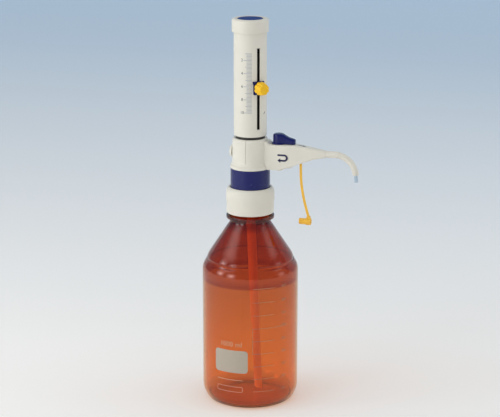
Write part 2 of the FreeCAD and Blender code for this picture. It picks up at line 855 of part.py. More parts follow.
def make_arm_housing():
    body = new_body("arm_housing")
    turned(body, "half_shell", cover_outline(S.skirt_top), angle=HALF_TURN - S.seam_angle * 2)
    side = new_sketch(body, "arm_side")
    draw_outline(side, arm_profile())
    arm = pad(body, "arm", side, S.arm_half_width * 2, both_ways=True)
    arm.Refine = True
    plan = new_sketch(body, "arm_plan", "XY_Plane", S.arm_shoulder_top + S.overrun)
    beyond = S.arm_neck + S.overrun
    depth = S.arm_shoulder_top - S.block_shelf + S.overrun * 2
    for side_way in (1, -1):
        near = S.spout_radius * side_way
        far = (S.arm_half_width + S.overrun) * side_way
        edge = S.arm_half_width * side_way
        corners = [
            (S.arm_taper_start, edge),
            (beyond, near),
            (beyond, far),
            (S.arm_taper_start, far),
        ]
        draw_outline(plan, corners if side_way < 0 else corners[::-1])
    tapered = pocket(body, "arm_taper", plan, depth)
    low_edges = edges_where(tapered, lambda edge: is_arm_edge(edge, False))
    lower = eased(body, "arm_low_edges", tapered, "Chamfer", low_edges, S.arm_low_edge_cut)
    top_edges = edges_where(lower, lambda edge: is_arm_edge(edge, True))
    eased(body, "arm_top_edges", lower, "Fillet", top_edges, S.arm_edge_bend)
    spout = new_sketch(body, "spout_outline", "YZ_Plane", S.arm_neck - S.overrun)
    draw_circle(spout, 0, S.spout_height, S.spout_radius)
    pad(body, "spout", spout, S.spout_end - S.arm_neck + S.overrun)
    turned(body, "column_room", box_corners(
        0, S.cover_inside, S.block_shelf - S.overrun, S.cover_lid), kind="Groove")
    room = new_sketch(body, "channel_room_outline")
    wall = S.arm_wall
    room_end = S.channel_end + wall / 2
    draw_outline(room, box_corners(0, room_end, S.block_shelf + wall, S.arm_top - wall))
    pocket(body, "channel_room", room, (S.arm_half_width - wall) * 2, both_ways=True)
    bore = new_sketch(body, "spout_bore_outline", "YZ_Plane", S.channel_end)
    draw_circle(bore, 0, S.spout_height, S.spout_bore)
    pocket(body, "spout_bore", bore, S.spout_end - S.channel_end + S.overrun, reversed_way=True)
    hub = new_sketch(body, "plug_opening_outline", "XY_Plane", S.arm_top + S.overrun)
    draw_circle(hub, S.plug_across, 0, S.plug_radius + S.arm_gap * 2)
    pocket(body, "plug_opening", hub, S.arm_top - S.block_shelf + S.overrun * 2)
    slit = new_sketch(body, "strap_slit_outline", "XY_Plane", S.spout_height)
    reach_x = S.barb_width / 2 + S.barb_clearance
    reach_y = S.strap_width / 2 + S.barb_clearance
    draw_outline(slit, box_corners(
        S.strap_across - reach_x, S.strap_across + reach_x, -reach_y, reach_y))
    pocket(body, "strap_slit", slit, S.spout_height - S.block_shelf)


def is_arm_edge(edge, upper):
    """Edges along the top or the bottom of the arm's cheeks, outside the round cover."""
    spot = middle(edge)
    if (spot.z > float(S.spout_height)) != upper:
        return False
    ends = [vertex.Point for vertex in edge.Vertexes]
    if len(ends) < 2 or edge.Length < float(S.arm_edge_bend) * 2:
        return False
    level = abs(ends[0].y - ends[1].y) < float(S.arm_half_width)
    outside = min(end.x for end in ends) >= float(S.cover_radius)
    cheek = abs(spot.y) > float(S.spout_radius) * CHEEK_SHARE
    along = abs(ends[0].x - ends[1].x) > float(S.arm_edge_bend)
    return level and outside and cheek and along


def make_vent_cap():
    """Drawn upright and laid over, so that its axis points to the rear."""
    body = new_body("vent_cap")
    bend = S.vent_edge_bend
    face = S.cover_radius
    front = S.cover_radius + S.vent_out
    turned(body, "cap", [
        (0, S.column_radius - S.vent_depth),
        (S.vent_stem, S.column_radius - S.vent_depth),
        (S.vent_stem, face),
        (S.vent_radius, face),
        (S.vent_radius, front - bend, bend),
        (S.vent_radius - bend, front),
        (0, front + S.nut_clearance),
    ])
    place(body, z=S.vent_height, axis=(0, 1, 0), angle=-QUARTER_TURN)


# Channel piece, plug and lever


def make_discharge_block():
    body = new_body("discharge_block")
    low, high = S.channel_bottom, S.channel_top
    side = new_sketch(body, "side")
    start = S.column_radius
    slope = S.plug_across + (S.channel_end - S.plug_across) * CHANNEL_SLOPE_SHARE
    draw_outline(side, [
        (start, low),
        (slope, low),
        (S.channel_end, S.spout_height - S.spout_radius - S.overrun),
        (S.channel_end, high),
        (start, high),
    ])
    pad(body, "bar", side, S.channel_half_width * 2, both_ways=True)
    turned(body, "column_seat", box_corners(
        0, S.column_radius, low - S.overrun, high + S.overrun), kind="Groove")
    hub = new_sketch(body, "plug_bore_outline", "XY_Plane", high + S.overrun)
    draw_circle(hub, S.plug_across, 0, S.plug_radius + S.plug_clearance)
    pocket(body, "plug_bore", hub, high - low + S.overrun * 2)
    inlet = new_sketch(body, "inlet_outline", "YZ_Plane")
    draw_circle(inlet, 0, S.inlet_channel_height, S.channel_bore)
    pocket(body, "inlet_channel", inlet, S.plug_across, reversed_way=True)
    back = new_sketch(body, "return_outline", "YZ_Plane")
    draw_circle(back, 0, S.return_channel_height, S.channel_bore)
    pocket(body, "return_channel", back, S.plug_across, reversed_way=True)
    outlet = new_sketch(body, "outlet_outline", "YZ_Plane", S.plug_across)
    draw_circle(outlet, 0, S.spout_height, S.seat_hole)
    pocket(body, "outlet_channel", outlet, S.channel_end, reversed_way=True)
    room = new_sketch(body, "valve_room_outline", "YZ_Plane", S.outlet_valve_start)
    draw_circle(room, 0, S.spout_height, S.valve_bore + S.socket_clearance)
    pocket(body, "valve_room", room, S.channel_end, reversed_way=True)


def make_valve_plug():
    body = new_body("valve_plug")
    low = S.channel_bottom - S.arm_wall
    high = S.arm_top + S.lever_gap
    turned(body, "plug", box_corners(0, S.plug_radius, low, high))
    inlet = new_sketch(body, "inlet_outline", "YZ_Plane")
    draw_circle(inlet, 0, S.inlet_channel_height, S.channel_bore)
    pocket(body, "inlet_port", inlet, S.plug_radius + S.overrun)
    riser = new_sketch(body, "riser_outline", "XY_Plane", S.spout_height)
    draw_circle(riser, 0, 0, S.channel_bore)
    pocket(body, "riser", riser, S.spout_height - S.inlet_channel_height)
    outlet = new_sketch(body, "outlet_outline", "YZ_Plane")
    draw_circle(outlet, 0, S.spout_height, S.channel_bore)
    pocket(body, "outlet_port", outlet, S.plug_radius + S.overrun, reversed_way=True)
    place(body, x=S.plug_across)


def make_plug_cap():
    body = new_body("plug_cap")
    high = S.channel_bottom - S.arm_wall
    bend = S.plug_head / 2
    turned(body, "retainer", [
        (0, S.block_shelf - S.plug_head),
        (S.plug_radius - bend * 2, S.block_shelf - S.plug_head, bend),
        (S.plug_radius - bend, S.block_shelf - bend),
        (S.plug_radius - bend, high),
        (0, high),
    ])
    place(body, x=S.plug_across)


def make_valve_lever():
    """Drawn about the plug's axis, with the grip along +X."""
    body = new_body("valve_lever")
    base = S.arm_top + S.lever_gap
    disc = S.lever_hub_radius + S.lever_disc_out
    disc_top = base + S.lever_disc
    top = base + S.lever_height
    bend = S.lever_bend
    turned(body, "hub", [
        (0, base),
        (disc, base),
        (disc, disc_top),
        (S.lever_hub_radius, disc_top),
        (S.lever_hub_radius, top - bend, bend),
        (S.lever_hub_radius - bend, top),
        (0, top),
    ])
    reach = S.lever_reach
    hub = S.lever_hub_radius
    half = S.lever_grip_width / 2
    grip = base + S.lever_grip_height
    plan = new_sketch(body, "grip_plan", "XY_Plane", base)
    draw_outline(plan, [
        (0, -half),
        (reach - bend, -half, S.lever_corner_bend),
        (reach, -half + bend),
        (reach, half - bend, S.lever_corner_bend),
        (reach - bend, half),
        (0, half),
    ])
    pad(body, "grip", plan, S.lever_height - S.lever_crown)
    slope = new_sketch(body, "grip_slope_outline")
    beyond = reach + S.overrun
    above = top + S.overrun
    draw_outline(slope, [
        (hub, top - S.lever_crown * 2, S.lever_slope_bend),
        (hub + (reach - hub) * LEVER_SLOPE_SHARE, grip + S.lever_grip_swell),
        (reach - bend, grip, -S.lever_dip_bend),
        (reach, grip - bend),
        (beyond, grip - bend),
        (beyond, above),
        (hub, above),
    ])
    pocket(body, "grip_slope", slope, S.lever_grip_width + S.overrun, both_ways=True)
    place(body, x=S.plug_across)


# Check valves, outlet tube and nozzle


def make_discharge_seat():
    """A ring pressed in the channel piece, with its cone towards the ball."""
    body = new_body("discharge_valve_seat")
    turned(body, "seat", [
        (S.seat_hole, 0),
        (S.valve_bore, 0),
        (S.valve_bore, S.seat_length),
        (S.ball_radius, S.seat_length),
        (S.seat_hole, S.seat_length - (S.ball_radius - S.seat_hole)),
    ])
    place(body, x=S.outlet_valve_start, z=S.spout_height, axis=(0, 1, 0), angle=QUARTER_TURN)


def ball_above_cone():
    """Height of a resting ball's middle over the small end of its 45 degree cone."""
    return S.ball_radius * math.sqrt(2) - S.seat_hole + S.ball_gap


def outlet_ball_across():
    cone_start = S.outlet_valve_start + S.seat_length - (S.ball_radius - S.seat_hole)
    return cone_start + ball_above_cone()


def make_ball(label, x, z):
    ball = doc.addObject("Part::Sphere", label)
    ball.Radius = float(S.ball_radius)
    bind(ball, "Radius", S.ball_radius)
    keep(ball, label)
    place(ball, x=x, z=z)


def make_discharge_spring():
    spring = doc.addObject("Part::Helix", "spring_line")
    start = outlet_ball_across() + S.spring_stand_off
    length = S.outlet_valve_end - start - S.spring_wire * 2
    spring.Pitch = float(length / S.spring_turn_count)
    bind(spring, "Pitch", length / S.spring_turn_count)
    spring.Height = float(length)
    bind(spring, "Height", length)
    spring.Radius = float(S.valve_bore - S.spring_wire * 2)
    bind(spring, "Radius", S.valve_bore - S.spring_wire * 2)
    wire = doc.addObject("Part::Circle", "spring_wire")
    wire.Radius = float(S.spring_wire)
    bind(wire, "Radius", S.spring_wire)
    place(wire, x=S.valve_bore - S.spring_wire * 2, axis=(1, 0, 0), angle=QUARTER_TURN)
    coil = doc.addObject("Part::Sweep", "discharge_spring")
    coil.Sections = [wire]
    coil.Spine = (spring, [])
    coil.Solid = True
    coil.Frenet = True
    keep(coil, "discharge_spring")
    place(coil, x=start + S.spring_wire, z=S.spout_height, axis=(0, 1, 0), angle=QUARTER_TURN)


def bent_tube(label, centre, start, about):
    """A body laid so that its upright is a bend's axis and its X points at the bend's start.

    centre is (across, up); start is the angle from straight up, towards +X, where the bend starts;
    about is 1 for a bend that turns from up to +X, and -1 for the other way.
    """
    body = new_body(label)
    radial = FreeCAD.Vector(math.sin(math.radians(start)), 0, math.cos(math.radians(start)))
    upright = FreeCAD.Vector(0, about, 0)
    turn_in = FreeCAD.Rotation(radial, upright.cross(radial), upright, "XZY")
    body.Placement = FreeCAD.Placement(
        FreeCAD.Vector(float(centre[0]), 0, float(centre[1])), turn_in)
    bind(body, "Placement.Base.x", centre[0])
    bind(body, "Placement.Base.z", centre[1])
    return body


def bend_piece(body, name, bend, turn, radii):
    """The round part of a bent tube, from the bend's start."""
    section = new_sketch(body, name + "_section", "XZ_Plane")
    for radius in radii:
        draw_circle(section, bend, 0, radius)
    round_part = body.newObject("PartDesign::Revolution", name)
    round_part.Profile = section
    round_part.ReferenceAxis = (section, ["V_Axis"])
    round_part.Angle = float(turn)
    bind(round_part, "Angle", turn)
    return round_part


def straight_piece(body, name, bend, at_angle, length, radii, ahead):
    """A straight end of a bent tube, ahead of an angle of the bend or back from it."""
    section = new_sketch(body, name + "_section", "XZ_Plane", 0, at_angle)
    for radius in radii:
        draw_circle(section, bend, 0, radius)
    return pad(body, name, section, length, reversed_way=ahead)


def make_discharge_tube():
    body = bent_tube("discharge_tube", (S.nozzle_start, S.nozzle_centre_height), 0, 1)
    radii = (S.outlet_radius, S.outlet_bore)
    start = S.outlet_valve_end + S.spring_wire
    bend_piece(body, "bend", S.nozzle_bend, S.nozzle_angle, radii)
    straight_piece(body, "lead", S.nozzle_bend, 0, S.nozzle_start - start, radii, False)
    straight_piece(body, "tip", S.nozzle_bend, S.nozzle_angle, S.tip_length, radii, True)
    shoulder = new_sketch(body, "shoulder_section", "XZ_Plane", S.nozzle_start - S.channel_end)
    draw_circle(shoulder, S.nozzle_bend, 0, S.valve_bore)
    draw_circle(shoulder, S.nozzle_bend, 0, S.outlet_bore)
    pad(body, "shoulder", shoulder, S.channel_end - start)


def make_nozzle():
    """White outer tube: cut flat where it meets the spout, with a thin spigot inside it."""
    body = bent_tube("nozzle", (S.nozzle_start, S.nozzle_centre_height), 0, 1)
    bore = S.nozzle_bore
    bend_piece(body, "jacket", S.nozzle_bend, S.nozzle_angle, (S.nozzle_radius, bore))
    trim = new_sketch(body, "spout_face_outline", "XY_Plane")
    draw_outline(trim, box_corners(0, S.nozzle_bend * 2, -S.nozzle_lead, S.nozzle_lead))
    pocket(body, "spout_face", trim, S.nozzle_bend, both_ways=True)
    bend_piece(body, "spigot", S.nozzle_bend, S.spigot_angle, (S.spigot_radius, bore))


def make_suction_valve():
    body = new_body("suction_valve")
    seat_top = S.inlet_socket_top - S.ball_radius * 2
    nipple_end = S.block_bottom - S.nipple_length
    room = S.valve_bore
    turned(body, "nipple", [
        (S.seat_hole, nipple_end),
        (S.lower_tube_radius, nipple_end),
        (S.lower_tube_radius, S.block_bottom),
        (S.inlet_socket_radius, S.block_bottom),
        (S.inlet_socket_radius, S.inlet_socket_top),
        (room, S.inlet_socket_top),
        (room, seat_top),
        (S.ball_radius, seat_top),
        (S.seat_hole, seat_top - (S.ball_radius - S.seat_hole)),
    ])


def inlet_ball_height():
    seat_top = S.inlet_socket_top - S.ball_radius * 2
    return seat_top - (S.ball_radius - S.seat_hole) + ball_above_cone()


# Tubes under the block


def make_suction_tube():
    """Upper tube of the telescopic filling tube: it leaves upright and leans towards the arm."""
    centre = (S.filling_bend, S.filling_bend_start)
    body = bent_tube("suction_tube", centre, -90, -1)
    radii = (S.filling_radius, S.filling_bore)
    bend_piece(body, "bend", S.filling_bend, S.filling_lean_angle, radii)
    straight_piece(body, "lead", S.filling_bend, 0,
                   S.block_bottom - S.filling_bend_start, radii, False)
    straight_piece(body, "tube", S.filling_bend, S.filling_lean_angle,
                   S.filling_length, radii, True)


def make_lower_tube():
    """Drawn along its own axis from the upper tube's end and leaned with it."""
    body = new_body("suction_tube_lower")
    floor = S.punt_rise + S.floor_glass
    drop = S.filling_bend_end - floor - S.lower_tube_floor_gap
    below = drop / cosine(S.filling_lean_angle)
    top = -(S.filling_length - S.lower_tube_overlap)
    turned(body, "tube", box_corners(S.lower_tube_bore, S.lower_tube_radius, -below, top))
    cut = new_sketch(body, "mouth_cut_outline")
    reach = S.lower_tube_radius + S.overrun
    draw_outline(cut, [
        (-reach, -below - S.overrun),
        (reach, -below - S.overrun),
        (reach, -below),
        (-reach, -below + S.lower_tube_radius),
    ])
    pocket(body, "mouth_cut", cut, reach * 2, both_ways=True)
    place(body, x=S.filling_bend_across, z=S.filling_bend_end, axis=(0, 1, 0),
          angle=-S.filling_lean_angle)


def make_recirculation_tube():
    body = ring("recirculation_tube", S.return_tube_bore, S.return_tube_radius,
                S.block_bottom - S.return_tube_drop, S.block_bottom + S.return_tube_seat)
    place(body, x=S.return_across)


# Cylinder


def make_cylinder():
    bore, outside = S.cylinder_bore, S.cylinder_radius
    ring("cylinder_seal", bore, outside, S.socket_floor, S.cylinder_base)
    ring("glass_cylinder", bore, outside, S.cylinder_base, S.cylinder_top)
    body = new_body("cylinder_jacket")
    flange_top = S.column_top + S.jacket_flange
    turned(body, "jacket", [
        (S.jacket_bore, S.column_top),
        (S.jacket_flange_radius, S.column_top),
        (S.jacket_flange_radius, flange_top),
        (S.jacket_radius, flange_top),
        (S.jacket_radius, S.cylinder_top),
        (S.jacket_bore, S.cylinder_top),
    ])
    nut = new_body("cylinder_nut")
    turned(nut, "nut", box_corners(S.bush_bore, S.nut_radius, flange_top, S.nut_top))
    stop = new_body("stop_collar")
    turned(stop, "stop", box_corners(
        S.rod_radius + S.stop_rod_clearance, S.stop_radius,
        S.cylinder_top, S.cylinder_top + S.stop_height))


# Sleeve and cap


def make_sleeve():
    body = new_body("sleeve")
    turned(body, "shell", box_corners(
        S.sleeve_bore, S.sleeve_radius, S.sleeve_bottom, S.sleeve_top))
    slot = new_sketch(body, "slot_outline", "XZ_Plane", 0, S.slot_angle)
    draw_outline(slot, box_corners(
        -S.slot_width / 2, S.slot_width / 2, S.slot_bottom, S.slot_top))
    pocket(body, "slot", slot, S.sleeve_radius + S.overrun, reversed_way=True)
    ring("guide_bush", S.bush_bore, S.sleeve_bore,
         S.sleeve_bottom, S.sleeve_bottom + S.bush_height)


def make_cap():
    body = new_body("top_cap")
    bend = S.cap_edge_bend
    turned(body, "cap", [
        (0, S.sleeve_top),
        (S.sleeve_radius + S.cap_clearance, S.sleeve_top),
        (S.sleeve_radius + S.cap_clearance, S.cap_bottom),
        (S.cap_radius - S.cap_skirt_bend, S.cap_bottom, S.cap_skirt_bend),
        (S.cap_radius, S.cap_bottom + S.cap_skirt_bend),
        (S.cap_radius, S.cap_top - bend, bend),
        (S.cap_radius - bend, S.cap_top),
        (S.cap_recess_radius + S.cap_skirt_bend, S.cap_top),
        (S.cap_recess_radius, S.cap_top - S.cap_skirt_bend),
        (S.cap_recess_radius, S.cap_recess_floor),
        (0, S.cap_recess_floor),
    ])
    room = S.rod_nut_height + S.cap_clearance
    turned(body, "nut_room", box_corners(
        0, S.rod_nut_across + S.overrun, S.cap_recess_floor - room,
        S.cap_recess_floor + S.overrun), kind="Groove")
    turned(body, "stud_hole", box_corners(
        0, S.rod_stud + S.cap_clearance, S.sleeve_top - S.overrun,
        S.cap_recess_floor), kind="Groove")
    disc = new_body("cap_disc")
    edge = S.disc_edge_bend
    turned(disc, "disc", [
        (0, S.cap_recess_floor),
        (S.disc_radius, S.cap_recess_floor),
        (S.disc_radius, S.disc_top - edge, edge),
        (S.disc_radius - edge, S.disc_top),
        (0, S.disc_top),
    ])


def make_rod():
    body = new_body("piston_rod")
    low = S.piston_top
    turned(body, "rod", [
        (0, low - S.stud_depth),
        (S.rod_stud, low - S.stud_depth),
        (S.rod_stud, low),
        (S.rod_radius, low),
        (S.rod_radius, S.sleeve_top),
        (S.rod_stud, S.sleeve_top),
        (S.rod_stud, S.cap_recess_floor - S.cap_clearance),
        (0, S.cap_recess_floor - S.cap_clearance),
    ])
    nut = doc.addObject("Part::Prism", "rod_nut_blank")
    nut.Polygon = 6
    nut.Circumradius = float(S.rod_nut_across)
    bind(nut, "Circumradius", S.rod_nut_across)
    nut.Height = float(S.rod_nut_height)
    bind(nut, "Height", S.rod_nut_height)
    hole = doc.addObject("Part::Cylinder", "rod_nut_hole")
    hole.Radius = float(S.rod_stud + S.cap_clearance)
    bind(hole, "Radius", S.rod_stud + S.cap_clearance)
    hole.Height = float(S.rod_nut_height)
    bind(hole, "Height", S.rod_nut_height)
    cut = doc.addObject("Part::Cut", "rod_nut")
    cut.Base = nut
    cut.Tool = hole
    keep(cut, "rod_nut")
    place(cut, z=S.cap_recess_floor - S.rod_nut_height - S.cap_clearance)


def make_piston():
    body = new_body("piston")
    outside = S.cylinder_bore - S.piston_clearance
    root = outside - S.ring_groove
    stud = S.rod_stud + S.cap_clearance
    stud_end = S.piston_top - S.stud_depth - S.stud_end_gap
    outline = [(0, S.piston_bottom), (outside, S.piston_bottom)]
    for bottom in ring_heights():
        top = bottom + S.ring_height
        outline += [(outside, bottom), (root, bottom), (root, top), (outside, top)]
    outline += [
        (outside, S.piston_top),
        (stud, S.piston_top),
        (stud, stud_end),
        (0, stud_end),
    ]
    turned(body, "piston", outline)


def ring_heights():
    return [S.piston_bottom + S.ring_height, S.piston_top - S.ring_height * 2]


def make_piston_seals():
    """Two sealing rings that share one node."""
    body = new_body("piston_seals")
    inside = S.cylinder_bore - S.piston_clearance - S.ring_groove
    outside = S.cylinder_bore - S.ring_clearance
    for number, bottom in enumerate(ring_heights()):
        turned(body, "ring_%d" % number, box_corners(
            inside, outside, bottom, bottom + S.ring_height))


# Volume slider


def make_slider_plate():
    """Curved plate that rides on the sleeve, with the pointer on its scale side."""
    body = new_body("slider_plate")
    inside, outside = S.plate_inside, S.plate_outside
    low = S.slider_height - S.plate_half_height
    high = S.slider_height + S.plate_half_height
    turned(body, "plate", box_corners(inside, outside, low, high), angle=S.plate_half_angle * 2)
    pointer = new_sketch(body, "pointer_outline", "YZ_Plane")
    edge = outside * sine(S.plate_half_angle)
    draw_outline(pointer, [
        (-edge, high - S.pointer_drop),
        (-edge + S.plate_rim, high - S.pointer_drop),
        (-edge + S.plate_rim, high),
        (-edge - S.pointer_length, high),
        (-edge - S.pointer_length, high - S.plate_rim),
    ])
    pad(body, "pointer", pointer, outside)
    turned(body, "sleeve_clearance", box_corners(
        0, inside, low - S.overrun, high + S.overrun), kind="Groove")
    hole = new_sketch(body, "screw_hole_outline", "YZ_Plane")
    draw_circle(hole, 0, S.slider_height, S.screw_radius + S.screw_clearance)
    pocket(body, "screw_hole", hole, outside + S.overrun, reversed_way=True)
    place(body, angle=-S.slot_angle)


def make_slider_nut():
    """Guide block inside the sleeve that the clamp screw pulls outwards."""
    body = new_body("slider_nut")
    inside = S.guide_block_inner
    outside = S.sleeve_bore - S.slider_gap
    low = S.slider_height - S.guide_block_height / 2
    high = S.slider_height + S.guide_block_height / 2
    turned(body, "blank", box_corners(inside, outside, low, high), angle=S.guide_block_angle)
    hole = new_sketch(body, "screw_hole_outline", "YZ_Plane")
    draw_circle(hole, 0, S.slider_height, S.screw_radius + S.screw_clearance)
    pocket(body, "screw_hole", hole, outside + S.overrun, reversed_way=True)
    sides = new_sketch(body, "side_cut_outline", "XY_Plane", high + S.overrun)
    half = S.guide_block_width / 2
    for way in (1, -1):
        near, far = half * way, outside * way
        corners = box_corners(0, outside + S.overrun, near, far)
        draw_outline(sides, corners if way > 0 else corners[::-1])
    pocket(body, "side_cut", sides, S.guide_block_height + S.overrun * 2)
    place(body, angle=-S.slot_angle)


def make_clamp_screw():
    """Drawn upright from the sleeve's axis and laid along the slot's direction."""
    body = new_body("clamp_screw")
    turned(body, "shank", box_corners(
        0, S.screw_radius, S.guide_block_inner, S.knob_start + S.knob_skirt))
    lay_along_slot(body)


def lay_along_slot(body):
    tilt = FreeCAD.Rotation(FreeCAD.Vector(0, 1, 0), 90)
    swing = FreeCAD.Rotation(FreeCAD.Vector(0, 0, 1), -float(S.slot_angle))
    body.Placement = FreeCAD.Placement(
        FreeCAD.Vector(0, 0, float(S.slider_height)), swing.multiply(tilt))
    bind(body, "Placement.Base.z", S.slider_height)


def make_clamp_knob():
    body = new_body("clamp_knob")
    low, high = S.knob_start, S.knob_end
    shoulder = low + S.knob_skirt
    bore = S.screw_radius
    bend = S.knob_edge_bend
    turned(body, "knob", [
        (0, shoulder),
        (bore, shoulder),
        (bore, low),
        (S.knob_radius - bend, low, bend),
        (S.knob_radius, low + bend),
        (S.knob_radius, shoulder, S.knob_length),
        (S.knob_face_radius + bend, high - bend, bend),
        (S.knob_face_radius, high),
        (0, high),
    ])
    scallop = new_sketch(body, "scallop_outline", "XY_Plane", high)
    draw_circle(scallop, S.knob_radius + S.lobe_cut - S.lobe_depth, 0, S.lobe_cut)
    cut = pocket(body, "scallop", scallop, high - low)
    row = body.newObject("PartDesign::PolarPattern", "scallops")
    row.Originals = [cut]
    row.Axis = (scallop, ["N_Axis"])
    row.Angle = 360
    row.Occurrences = int(S.knob_lobe_count.value)
    body.Tip = row
    lay_along_slot(body)


# Strap and closure cap


def strap_route():
    """Points (across, up) of the strap, from the arm down to the closure cap."""
    spots = [(S.strap_across, S.strap_top)]
    for across_share, drop_share in STRAP_SHARES:
        spots.append((
            S.strap_across + S.strap_swing * across_share,
            S.strap_top - S.strap_drop * drop_share,
        ))
    spots.append((S.strap_end_across, S.strap_end_height))
    return spots


def make_strap_anchor():
    """Barb of the strap, which is pushed up through the slit in the arm's floor."""
    body = new_body("strap_anchor")
    stem = new_sketch(body, "stem_outline", "XY_Plane", S.strap_top)
    half_x, half_y = S.barb_width / 2, S.strap_width / 2
    draw_outline(stem, box_corners(
        S.strap_across - half_x, S.strap_across + half_x, -half_y, half_y))
    pad(body, "stem", stem, S.barb_length)


def make_strap():
    """Flat strap: straight runs joined by the largest tangent arcs that the runs allow."""
    spots = [FreeCAD.Vector(float(x), 0, float(z)) for x, z in strap_route()]
    edges = []
    last = spots[0]
    for before, here, after in zip(spots, spots[1:], spots[2:]):
        back, ahead = (before - here), (after - here)
        shorter = min(back.Length, ahead.Length)
        turn = math.pi - back.getAngle(ahead)
        cut = STRAP_BEND_SHARE * shorter
        radius = cut / math.tan(turn / 2)
        start = here + back.normalize() * cut
        end = here + ahead.normalize() * cut
        inward = (back + ahead).normalize()
        centre = here + inward * (radius / math.cos(turn / 2))
        mid = centre - inward * radius
        edges.append(Part.LineSegment(last, start).toShape())
        edges.append(Part.Arc(start, mid, end).toShape())
        last = end
    edges.append(Part.LineSegment(last, spots[-1]).toShape())
    route = Part.Wire(edges)
    half_x, half_y = float(S.strap_width) / 2, float(S.strap_thickness) / 2
    top = spots[0]
    signs = ((-1, -1), (1, -1), (1, 1), (-1, 1), (-1, -1))
    corners = [FreeCAD.Vector(top.x + half_x * x, half_y * y, top.z) for x, y in signs]
    section = Part.Wire(Part.makePolygon(corners).Edges)
    shell = Part.BRepOffsetAPI.MakePipeShell(route)
    shell.setBiNormalMode(FreeCAD.Vector(0, 1, 0))
    shell.add(section)
    shell.build()
    shell.makeSolid()
    strap = keep(doc.addObject("Part::Feature", "cap_strap"), "cap_strap")
    strap.Shape = Part.Solid(shell.shape())


def make_closure():
    """Closure cap drawn upright along its bore and laid over along +X."""
    body = new_body("nozzle_cap")
    length = S.closure_length
    flange_start = S.closure_barrel
    bend = S.closure_edge_bend
    turned(body, "shell", [
        (0, 0),
        (S.closure_radius - bend, 0, bend),
        (S.closure_radius, bend),
        (S.closure_radius, flange_start),
        (S.closure_flange, flange_start + bend),
        (S.closure_flange, length - bend, bend),
        (S.closure_flange - bend, length),
        (S.closure_bore, length),
        (S.closure_bore, length - S.closure_bore_depth),
        (0, length - S.closure_bore_depth),
    ])
    lug_top = S.closure_radius + S.closure_lug_height
    lug = new_sketch(body, "lug_outline", "YZ_Plane", -lug_top)
    half = S.closure_lug_thickness / 2
    draw_outline(lug, box_corners(-half, half, flange_start + bend, length - bend))
    pad(body, "lug", lug, S.closure_lug_height + bend)
    place(body, x=S.closure_start, z=S.closure_height, axis=(0, 1, 0), angle=QUARTER_TURN)


make_bottle()
make_neck_seal()
make_collar()
make_valve_block()
make_block_skirt()
make_rear_cover()
make_arm_housing()
make_vent_cap()
make_discharge_block()
make_valve_plug()
make_plug_cap()
make_valve_lever()
make_discharge_seat()
make_ball("discharge_ball", outlet_ball_across(), S.spout_height)
make_discharge_spring()
make_discharge_tube()
make_nozzle()
make_suction_valve()
make_ball("suction_ball", 0, inlet_ball_height())
make_suction_tube()
make_lower_tube()
make_recirculation_tube()
make_cylinder()
make_sleeve()
make_cap()
make_rod()
make_piston()
make_piston_seals()
make_slider_plate()
make_slider_nut()
make_clamp_screw()
make_clamp_knob()
make_strap_anchor()
make_strap()
make_closure()
doc.recompute()

faults = [item.Name for item in doc.Objects if "Invalid" in item.State or "Error" in item.State]
for piece in parts:
    if piece.Shape.isNull() or not piece.Shape.isValid() or not piece.Shape.Solids:
        faults.append(piece.Label)
if faults:
    raise RuntimeError("these objects failed: " + ", ".join(faults))

os.makedirs("parts", exist_ok=True)
for piece in parts:
    piece.Shape.exportStep("parts/%s.step" % piece.Label)
print("%d parts written" % len(parts))
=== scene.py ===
import contextlib
import json
import math

import bmesh
import bpy
from mathutils import Matrix, Vector


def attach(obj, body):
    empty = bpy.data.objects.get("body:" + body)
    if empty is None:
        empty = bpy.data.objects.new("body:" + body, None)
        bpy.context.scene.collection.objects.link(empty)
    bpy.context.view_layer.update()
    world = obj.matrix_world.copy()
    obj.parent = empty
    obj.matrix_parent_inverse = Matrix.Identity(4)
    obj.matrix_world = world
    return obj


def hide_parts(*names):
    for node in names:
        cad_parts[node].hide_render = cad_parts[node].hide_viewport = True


# Bottle-top dispenser on an amber bottle. Outlines and places on it are in millimetres, and MM
# turns them into metres; the camera, the lamps and the floor are in metres. Angles about the
# upright axis are degrees from +X, so the front is -90.

MM = 0.001
TINY = 1e-6

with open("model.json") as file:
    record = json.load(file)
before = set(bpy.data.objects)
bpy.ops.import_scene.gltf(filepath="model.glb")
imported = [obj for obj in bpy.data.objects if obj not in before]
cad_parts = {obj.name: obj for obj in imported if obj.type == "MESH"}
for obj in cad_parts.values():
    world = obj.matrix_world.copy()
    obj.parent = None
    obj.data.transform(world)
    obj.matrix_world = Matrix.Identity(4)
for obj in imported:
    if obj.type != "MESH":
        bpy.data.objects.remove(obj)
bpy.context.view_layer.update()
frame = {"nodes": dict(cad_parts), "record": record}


# Meshes

SMOOTH_ANGLE = 35.0
WELD_DISTANCE = 0.000002


def add_object(name, data):
    made = bpy.data.objects.new(name, data)
    bpy.context.scene.collection.objects.link(made)
    return made


@contextlib.contextmanager
def editing(mesh):
    """The mesh opened for work, and written back afterwards."""
    work = bmesh.new()
    work.from_mesh(mesh)
    yield work
    work.to_mesh(mesh)
    work.free()


def finish_mesh(mesh, smooth_angle=SMOOTH_ANGLE):
    with editing(mesh) as work:
        bmesh.ops.remove_doubles(work, verts=work.verts, dist=WELD_DISTANCE)
        bmesh.ops.recalc_face_normals(work, faces=work.faces)
    mesh.shade_smooth()
    mesh.set_sharp_from_angle(angle=math.radians(smooth_angle))


def paint(piece, material):
    piece.data.materials.clear()
    piece.data.materials.append(material)


